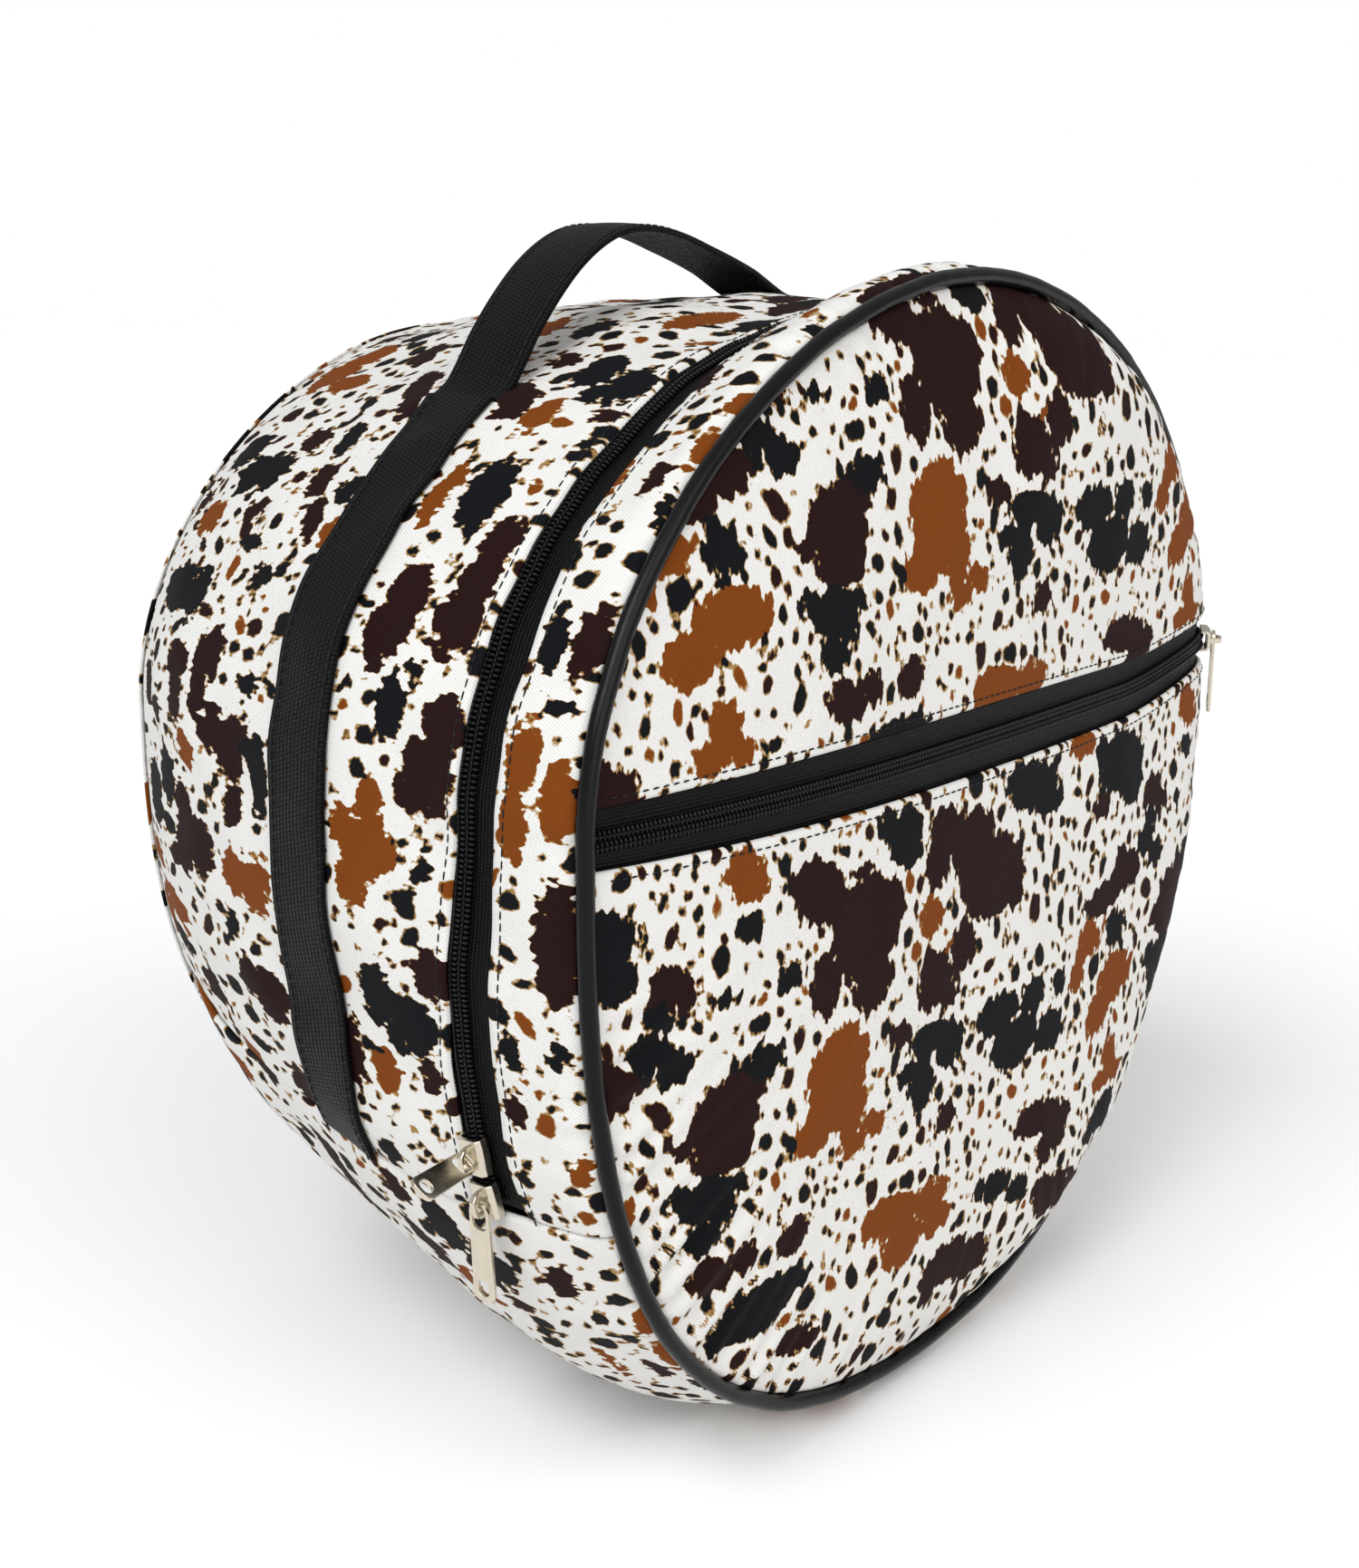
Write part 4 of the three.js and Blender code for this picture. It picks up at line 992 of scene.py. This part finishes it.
def toothShape():
    half, pitch = zips["coilWidth"] / 2, zips["coilPitch"]
    work = bmesh.new()
    turn = Matrix.Rotation(math.radians(90), 4, "Z")
    for along, side in ((0, half / 2), (pitch / 2, -half / 2)):
        bar = barShape("tooth", half + tooth["beyond"], tooth["radius"], tooth["flatten"], tooth["bend"])
        bar.data.transform(Matrix.Translation(Vector((along, side, tooth["rise"])) * mm) @ turn)
        work.from_mesh(bar.data)
        bpy.data.objects.remove(bar)
    for side in (-tooth["rowSide"], tooth["rowSide"]):
        bar = barShape("row", pitch * tooth["rowShare"], tooth["rowRadius"])
        bar.data.transform(Matrix.Translation(Vector((0, side, tooth["rowRise"])) * mm))
        work.from_mesh(bar.data)
        bpy.data.objects.remove(bar)
    mesh = bpy.data.meshes.new("tooth pair")
    work.to_mesh(mesh)
    work.free()
    return bpy.data.objects.new("tooth pair", mesh)


def addMainZip():
    table = rad(np.linspace(-zips["turnReach"], zips["turnReach"], 2000))
    arcs = np.linspace(*arcLength(rad(np.array((-seam, seam)))), zips["mainSteps"])[1:-1]
    tapeTurns = np.interp(arcs, arcLength(table), table)
    sink = zips["tapeSink"] + zips["tapeBack"]
    low, high = doorFold(tapeTurns)[:, None] - zips["tuck"], rearFold(tapeTurns)[:, None] + zips["tuck"]
    depths = low + (high - low) * tapeShares
    turns = tapeTurns[:, None] + 0 * depths

    def place(height):
        return liftedSkin(turns, depths, clothLift(turns, depths) * zips["clothShare"] - sink + height)

    addTape("main_zip_tape_weave", place, "mainPrint", arcLength(tapeTurns), "main_zip_tape")
    middle = coilLine(tapeTurns)
    base = liftedSkin(tapeTurns, middle, clothLift(tapeTurns, middle) * zips["clothShare"] - sink)
    up = skinNormal(tapeTurns, middle)
    teeth = repeatAlong("main_zip_teeth", [base], [up], zips["coilPitch"], zipTooth, coilNylon)
    settle(teeth, "bag", "zip_coil", "main_zip_coil")


def addPocketZip():
    leftTurn, rightTurn = lipTurns(bag["pocketUpperLip"])
    clear, sink = zips["pocketClear"], zips["tapeSink"] + zips["tapeBack"]
    leftEnd, rightEnd = edgePoint(-leftTurn)[0] + clear, edgePoint(rightTurn)[0] - clear
    across = np.linspace(leftEnd, rightEnd, zips["pocketSteps"])
    low = lipHeight(-bag["pocketLowerLip"], across) - zips["tuck"]
    high = lipHeight(bag["pocketUpperLip"], across) + zips["tuck"]
    z = low[:, None] + (high - low)[:, None] * tapeShares
    x = across[:, None] + 0 * z

    def place(height):
        return np.stack([x, crownDepth(x, z) + sink - height, z], -1)

    addTape("pocket_zip_tape_weave", place, "pocketPrint", across, "pocket_zip_tape")
    line = pocketHeight(across)
    base = np.stack([across, crownDepth(across, line) + sink, line], -1)
    up = np.cross(np.gradient(base, axis=0), (0, 0, 1))
    up /= np.linalg.norm(up, axis=1, keepdims=True)
    up *= -np.sign(up[:, 1:2])
    teeth = repeatAlong("pocket_zip_teeth", [base], [up], zips["coilPitch"], zipTooth, coilNylon)
    settle(teeth, "bag", "zip_coil", "pocket_zip_coil")


zipTooth = toothShape()
addMainZip()
addPocketZip()
bpy.data.objects.remove(zipTooth)
print("zips made")

# sliders and pull tabs
metal = {
    "length": 11, "wall": 1.2, "flange": 1.1, "bridge": 7.6, "bar": 1.4, "opening": 2.4, "bevel": 0.22,
    "tabLength": 29, "tabWidth": 7.4, "tabWall": 1.2, "rail": 1.2, "eye": 6.4, "slot": 4.6, "slotIn": 0.4,
    "tabRound": 0.72, "eyeRound": 0.7, "slotShare": 0.8, "neck": 0.86, "neckLength": 9,
    "foot": 0.1, "shoulder": 0.7, "inside": 0.75, "bridgeHalf": 0.85, "bridgeFoot": 0.5, "bridgeRound": 0.9,
    "bridgeCrown": 0.15, "barShare": 0.9, "bevelSteps": 3, "bevelFrom": 35,
    "pocketShare": 0.905, "pocketSlip": 1.7,
}
sliderStations = [  # place along the slider in mm, then its width and height as shares
    (-5.5, 0.84, 0.92),
    (-3.025, 0.9, 1),
    (0.1, 0.97, 1),
    (2.75, 1, 1),
    (5.5, 0.93, 0.92),
]
mainTabs = {  # where the slider is, then how its tab is turned and swung, in degrees
    "upper": {"turn": -119.3, "swivel": -44, "swing": 117},
    "lower": {"turn": -123.2, "swivel": -2, "swing": 13},
}
sliderTop = zips["coilHeight"] + gap + metal["wall"]
pivotHeight = sliderTop + metal["opening"] / 2
seatDrop = gap - zips["tapeSink"]


def seatMatrix(across, along, out, place):
    matrix = Matrix([v.normalized() for v in (across, along, out)]).transposed().to_4x4()
    matrix.translation = place + out * seatDrop
    return matrix


def mainSeat(degrees):
    turn, step = rad(degrees), rad(0.5)

    def onLine(at):
        return Vector(skin(at, coilLine(at)))

    along = (onLine(turn + step) - onLine(turn - step)).normalized()
    around = Vector(skin(turn + step, coilLine(turn)) - skin(turn - step, coilLine(turn))).normalized()
    across = along.cross(Vector((-around.z, 0, around.x))).normalized()
    return seatMatrix(across, along, across.cross(along), onLine(turn))


def pocketSeat():
    x, step = bag["halfWidth"] * metal["pocketShare"], 0.5

    def onLine(across):
        height = float(pocketHeight(across))
        return Vector((across, float(crownDepth(across, height)), height))

    along = (onLine(x + step) - onLine(x - step)).normalized()
    out = Vector((0, 0, -1)).cross(along).normalized()
    return seatMatrix(along.cross(out), along, out, onLine(x))


def seated(mesh, seat):
    mesh.transform(Matrix.Scale(mm, 4) @ Matrix.Translation(Vector(originShift)) @ seat)
    mesh.materials.clear()
    mesh.materials.append(nickel)


def cleanMesh(work, mesh, distance):
    bmesh.ops.remove_doubles(work, verts=work.verts, dist=distance)
    bmesh.ops.recalc_face_normals(work, faces=work.faces)
    work.to_mesh(mesh)
    work.free()


def ringBar(work, rings):
    made = [[work.verts.new(point) for point in ring] for ring in rings]
    size = len(made[0])
    for a, b in zip(made, made[1:]):
        for k in range(size):
            work.faces.new((a[k], a[(k + 1) % size], b[(k + 1) % size], b[k]))
    work.faces.new(made[0][::-1])
    work.faces.new(made[-1])


def bodyRings():
    foot, shoulder, inside = metal["foot"], metal["shoulder"], metal["inside"]
    hollow = zips["coilWidth"] / 2 + gap
    rings = []
    for y, wide, tall in sliderStations:
        top, low = sliderTop * tall, (sliderTop - metal["wall"]) * tall
        o = (hollow + metal["flange"]) * wide
        i = min(hollow, o - shoulder)
        half = [(o * metal["tabRound"], top), (o, top * shoulder), (o, foot),
                (i, foot), (i, low * inside), (i * inside, low)]
        rings.append([(-x, y, z) for x, z in half[2::-1]] + [(x, y, z) for x, z in half]
                     + [(-x, y, z) for x, z in half[:2:-1]])
    return rings


def bridgeRings():
    bar, rise = metal["bar"] / 2, sliderTop + metal["opening"]
    foot, inner = sliderTop - metal["bridgeFoot"], metal["bridge"] / 2 - bar
    rounded, shoulder = inner - metal["bridgeRound"], rise - metal["bridgeFoot"]
    top = rise + bar
    arch = [(-inner, foot), (-inner, shoulder), (-rounded, top), (0, top + metal["bridgeCrown"]),
            (rounded, top), (inner, shoulder), (inner, foot)]
    half = metal["bridgeHalf"]
    rings = []
    for index, (y, z) in enumerate(arch):
        before, after = arch[max(index - 1, 0)], arch[min(index + 1, len(arch) - 1)]
        run = Vector((after[0] - before[0], after[1] - before[1])).normalized()
        side = Vector((-run.y, run.x)) * bar * metal["barShare"]
        corners = ((-half, -1), (half, -1), (half, 1), (-half, 1))
        rings.append([(x, y + s * side.x, z + s * side.y) for x, s in corners])
    return rings


def sliderBody(name, seat):
    work = bmesh.new()
    ringBar(work, bodyRings())
    ringBar(work, bridgeRings())
    mesh = bpy.data.meshes.new(name)
    cleanMesh(work, mesh, 1e-5)
    seated(mesh, seat)
    piece = addObject(name, mesh)
    edge = piece.modifiers.new("bevel", "BEVEL")
    edge.width = metal["bevel"] * mm
    edge.segments = metal["bevelSteps"]
    edge.limit_method = "ANGLE"
    edge.angle_limit = math.radians(metal["bevelFrom"])
    final = finalMesh(piece)
    final.name = name
    piece.modifiers.clear()
    piece.data = final
    return piece


def roundedLoop(half, low, high, roundness, count=5):
    corners = [(half - roundness, high - roundness, 0), (-half + roundness, high - roundness, 90),
               (-half + roundness, low + roundness, 180), (half - roundness, low + roundness, 270)]
    loop = []
    for x, y, start in corners:
        for k in range(count + 1):
            angle = math.radians(start + 90 * k / count)
            loop.append((x + roundness * math.cos(angle), y + roundness * math.sin(angle)))
    return loop


def tabLoops():
    half, near = metal["tabWidth"] / 2, metal["rail"] / 2
    far, eye = near - metal["tabLength"], half - metal["rail"]
    slot = far + metal["rail"] + metal["slotIn"]
    plate = roundedLoop(half, far, near, half * metal["tabRound"], 8)
    neck, length = metal["neck"], metal["neckLength"]
    plate = [(x * (neck + (1 - neck) * min(max((near - y) / length, 0), 1)), y) for x, y in plate]
    return [
        plate,
        roundedLoop(eye, -near - metal["eye"], -near, eye * metal["eyeRound"]),
        roundedLoop(eye * metal["slotShare"], slot, slot + metal["slot"], eye * metal["tabRound"]),
    ]


def tabPlate(name, seat):
    data = bpy.data.curves.new(name, "CURVE")
    data.dimensions = "2D"
    data.fill_mode = "BOTH"
    data.extrude = metal["tabWall"] / 2 - metal["bevel"]
    data.bevel_depth = metal["bevel"]
    data.bevel_resolution = metal["bevelSteps"]
    data.offset = -metal["bevel"]
    for loop in tabLoops():
        spline = data.splines.new("POLY")
        spline.points.add(len(loop) - 1)
        for point, (x, y) in zip(spline.points, loop):
            point.co = (x, y, 0, 1)
        spline.use_cyclic_u = True
    flat = addObject(name + "_outline", data)
    mesh = finalMesh(flat)
    bpy.data.objects.remove(flat)
    work = bmesh.new()
    work.from_mesh(mesh)
    cleanMesh(work, mesh, 1e-4)
    mesh.name = name
    seated(mesh, seat)
    return addObject(name, mesh)


def addMetal(zipName, seat, swivel, swing, shift=(0, 0, 0)):
    settle(sliderBody(f"{zipName}_slider_body", seat), "bag", "nickel", f"{zipName}_zip_slider")
    turned = Matrix.Rotation(math.radians(swivel), 4, "Z") @ Matrix.Rotation(-math.radians(swing), 4, "X")
    pose = seat @ Matrix.Translation((0, 0, pivotHeight)) @ turned @ Matrix.Translation(shift)
    tab = tabPlate(f"{zipName}_pull_tab_plate", pose)
    settle(tab, f"{zipName}_tab", "nickel", f"{zipName}_pull_tab")


for zipName, row in mainTabs.items():
    addMetal(zipName, mainSeat(row["turn"]), row["swivel"], row["swing"])
hung = ((metal["tabWidth"] - metal["rail"]) / 2, metal["pocketSlip"], 0)
addMetal("pocket", pocketSeat(), 90, 0, hung)
print("sliders and tabs made")

# webbing strap and handle
strap = {
    "width": 25, "wall": 1.8, "depth": 99, "lift": 0.35, "left": -46, "right": 19, "rise": 35, "run": 4,
    "loop": [(0.07, 0.33), (0.2, 0.78), (0.34, 0.99), (0.49, 0.92), (0.64, 0.69), (0.81, 0.38), (0.92, 0.12)],
    "loopSteps": 110, "loopStart": 0.22, "runShare": 0.8, "settle": 14, "cup": 0.7,
    "endGap": 0.5, "step": 2.2, "corner": 0.55, "faceInset": 2.5,
    "stitchInset": 2.2, "stitchLift": 0.05,
}


def smoothPath(points, shares):  # centripetal curve through the points
    points = np.asarray(points, float)
    ends = np.vstack([2 * points[0] - points[1], points, 2 * points[-1] - points[-2]])
    out = []
    for share in shares:
        k = min(int(share), len(points) - 2)
        level = ends[k:k + 4]
        knots = np.concatenate([[0], np.cumsum(np.sqrt(np.linalg.norm(np.diff(level, axis=0), axis=1)))])
        t = knots[1] + (share - k) * (knots[2] - knots[1])
        for order in range(1, 4):
            spans = [(knots[i], knots[i + order]) for i in range(4 - order)]
            level = np.array([
                ((high - t) * level[i] + (t - low) * level[i + 1]) / (high - low)
                for i, (low, high) in enumerate(spans)])
        out.append(level[0])
    return np.array(out)


def strapPaths():  # the turns up the left side, the points of the loop and the turns down the right side
    endTurn = seam - math.degrees(strap["endGap"] / bag["halfWidth"])
    leftTurn, rightTurn, run = strap["left"], strap["right"], strap["run"]

    def between(first, last):
        return rad(np.linspace(first, last, 3 + int(abs(last - first) * 3 / strap["step"])))

    def riding(degrees):
        return liftedSkin(rad(degrees), strap["depth"], strap["lift"])

    left, right = riding(leftTurn), riding(rightTurn)
    middle = [left + (right - left) * a + np.array((0, 0, r * strap["rise"])) for a, r in strap["loop"]]
    control = np.array([riding(leftTurn - run), left, *middle, right, riding(rightTurn + run)])
    last = len(control) - 1
    shares = np.linspace(0, last, strap["loopSteps"])
    kept = shares[(shares > strap["loopStart"]) & (shares < last - strap["loopStart"])]
    run *= strap["runShare"]
    return between(-endTurn, leftTurn - run), smoothPath(control, kept), between(rightTurn + run, endTurn)


def strapRing():
    half, wall, corner = strap["width"] / 2, strap["wall"], strap["corner"]
    angles = np.linspace(-math.pi / 2, math.pi / 2, 5)
    edge = [(half - corner + corner * math.cos(a), wall / 2 * (1 + math.sin(a))) for a in angles]
    face = np.linspace(half - strap["faceInset"], strap["faceInset"] - half, 9)
    ring = edge + [(side, wall) for side in face]
    ring += [(-side, height) for side, height in edge[::-1]] + [(side, 0) for side in face[::-1]]
    return np.array(ring)


def addStrap():
    leftTurns, loop, rightTurns = strapPaths()
    depth = strap["depth"]

    def onSkin(turns, table):
        sides = table[None, :, 0] + depth + 0 * turns[:, None]
        at = turns[:, None] + 0 * sides
        return liftedSkin(at, sides, clothLift(at, sides) + strap["lift"] + table[None, :, 1])

    def onLoop(table):
        run = np.gradient(loop, axis=0)
        run /= np.linalg.norm(run, axis=1, keepdims=True)
        out = np.stack([-run[:, 2], 0 * run[:, 0], run[:, 0]], -1)
        steps = np.arange(len(loop))
        settled = np.clip(1 - np.minimum(steps, steps[::-1]) / strap["settle"], 0, 1) ** 2
        cup = strap["cup"] * (1 - settled)[:, None] * (1 - (2 * table[None, :, 0] / strap["width"]) ** 2)
        centre = loop.copy()
        centre[:, 1] = depth
        side = np.zeros((len(loop), len(table), 3))
        side[..., 1] = table[None, :, 0]
        return centre[:, None] + side + out[:, None] * (table[None, :, 1] + cup)[..., None]

    def whole(table):
        table = np.asarray(table, float)
        return np.concatenate([onSkin(leftTurns, table), onLoop(table), onSkin(rightTurns, table)])

    ring = strapRing()
    length = runAlong(whole([(0, strap["wall"])])[:, 0])
    uv = np.stack(np.broadcast_arrays(length[:, None], ring[None, :, 0]), -1).reshape(-1, 2)
    settle(sweep("carry_strap_webbing", whole(ring), strapWeave, uv), "bag", "black_webbing", "carry_strap")
    inset, top = strap["width"] / 2 - strap["stitchInset"], strap["wall"] + strap["stitchLift"]
    lines = [whole([(side, top)])[:, 0] for side in (-inset, inset)]
    ups = [whole([(side, top + 1)])[:, 0] - line for side, line in zip((-inset, inset), lines)]
    return lines, ups


strapLines, strapUps = addStrap()
print("strap made")

# stitching
stitching = {
    "length": 2.5, "pitch": 3.3, "radius": 0.28, "flatten": 0.9, "door": -3.6, "body": 2.4, "pocket": 2.5,
    "seamGap": 0.3, "lift": 0.02, "pocketReach": 165, "sideSteps": 500, "pocketSteps": 300,
}


def addStitching():
    stitch = barShape("stitch", stitching["length"], stitching["radius"], stitching["flatten"])
    lines, ups = [], []
    end = seam - stitching["seamGap"]
    turns = rad(np.linspace(-end, end, stitching["sideSteps"]))
    for depths in (doorFold(turns) + stitching["door"], rearFold(turns) + stitching["body"]):
        lines.append(liftedSkin(turns, depths, clothLift(turns, depths) + stitching["lift"]))
        ups.append(skinNormal(turns, depths))
    x = np.linspace(-stitching["pocketReach"], stitching["pocketReach"], stitching["pocketSteps"])
    away = stitching["pocket"]
    for lip, shift in ((bag["pocketUpperLip"], away), (-bag["pocketLowerLip"], -away)):
        z = lipHeight(lip, x) + shift
        lines.append(np.stack([x, surfaceDepth(x, z, abs(shift)) - stitching["lift"], z], -1))
        ups.append(np.tile((0, -1.0, 0), (len(x), 1)))
    rows = (("cloth_topstitching", lines, ups), ("strap_stitching", strapLines, strapUps))
    for name, paths, upwards in rows:
        piece = repeatAlong(name, paths, upwards, stitching["pitch"], stitch, blackThread)
        settle(piece, "bag", "black_webbing")
    bpy.data.objects.remove(stitch)


addStitching()
print("stitching made")

# floor and light
studio = {
    "floor": (0.93, 0.93, 0.93, 1), "floorSize": 6, "floorRoughness": 0.9, "floorSpecular": 0.1,
    "background": 1.0, "sky": (0.98, 0.99, 1, 1), "zenith": 0.54, "horizon": 0.36, "heights": (-0.1, 0.9),
}
suns = {
    "key": {"place": (-0.78, -0.05, 0.72), "spread": 40, "power": 2.05, "tint": (0.97, 0.985, 1.0)},
    "fill": {"place": (-0.3, -0.9, 0.5), "spread": 60, "power": 1.6, "tint": (1.0, 0.965, 0.93)},
}


def addWorld():
    world = bpy.data.worlds.new("studio")
    world.use_nodes = True
    tree = world.node_tree
    soft = tree.nodes["Background"]
    direction = addNode(tree, "ShaderNodeTexCoord").outputs["Generated"]
    height = addNode(tree, "ShaderNodeSeparateXYZ", {0: direction}).outputs[2]
    strength = ramp(tree, height, *studio["heights"], studio["horizon"], studio["zenith"])
    tree.links.new(strength, soft.inputs["Strength"])
    soft.inputs["Color"].default_value = studio["sky"]
    white = addNode(tree, "ShaderNodeBackground", {"Color": (1, 1, 1, 1), "Strength": studio["background"]})
    seen = addNode(tree, "ShaderNodeLightPath").outputs["Is Camera Ray"]
    both = addNode(tree, "ShaderNodeMixShader", {0: seen, 1: soft.outputs[0], 2: white.outputs[0]})
    tree.links.new(both.outputs[0], tree.nodes["World Output"].inputs["Surface"])
    bpy.context.scene.world = world


def addStage():
    mesh = bpy.data.meshes.new("floor")
    size = studio["floorSize"]
    corners = [(-size, -size, 0), (size, -size, 0), (size, size, 0), (-size, size, 0)]
    mesh.from_pydata(corners, [], [(0, 1, 2, 3)])
    material, _, shader = newMaterial("pale floor")
    shader.inputs["Base Color"].default_value = studio["floor"]
    shader.inputs["Roughness"].default_value = studio["floorRoughness"]
    shader.inputs["Specular IOR Level"].default_value = studio["floorSpecular"]
    mesh.materials.append(material)
    addObject("floor", mesh)
    bpy.context.scene.view_settings.view_transform = "Standard"
    for name, sun in suns.items():
        lamp = bpy.data.lights.new(name, "SUN")
        lamp.angle = math.radians(sun["spread"])
        lamp.energy = sun["power"]
        lamp.color = sun["tint"]
        holder = addObject(name, lamp)
        holder.rotation_euler = (-Vector(sun["place"])).to_track_quat("-Z", "Y").to_euler()


addWorld()
addStage()
print("stage lit")
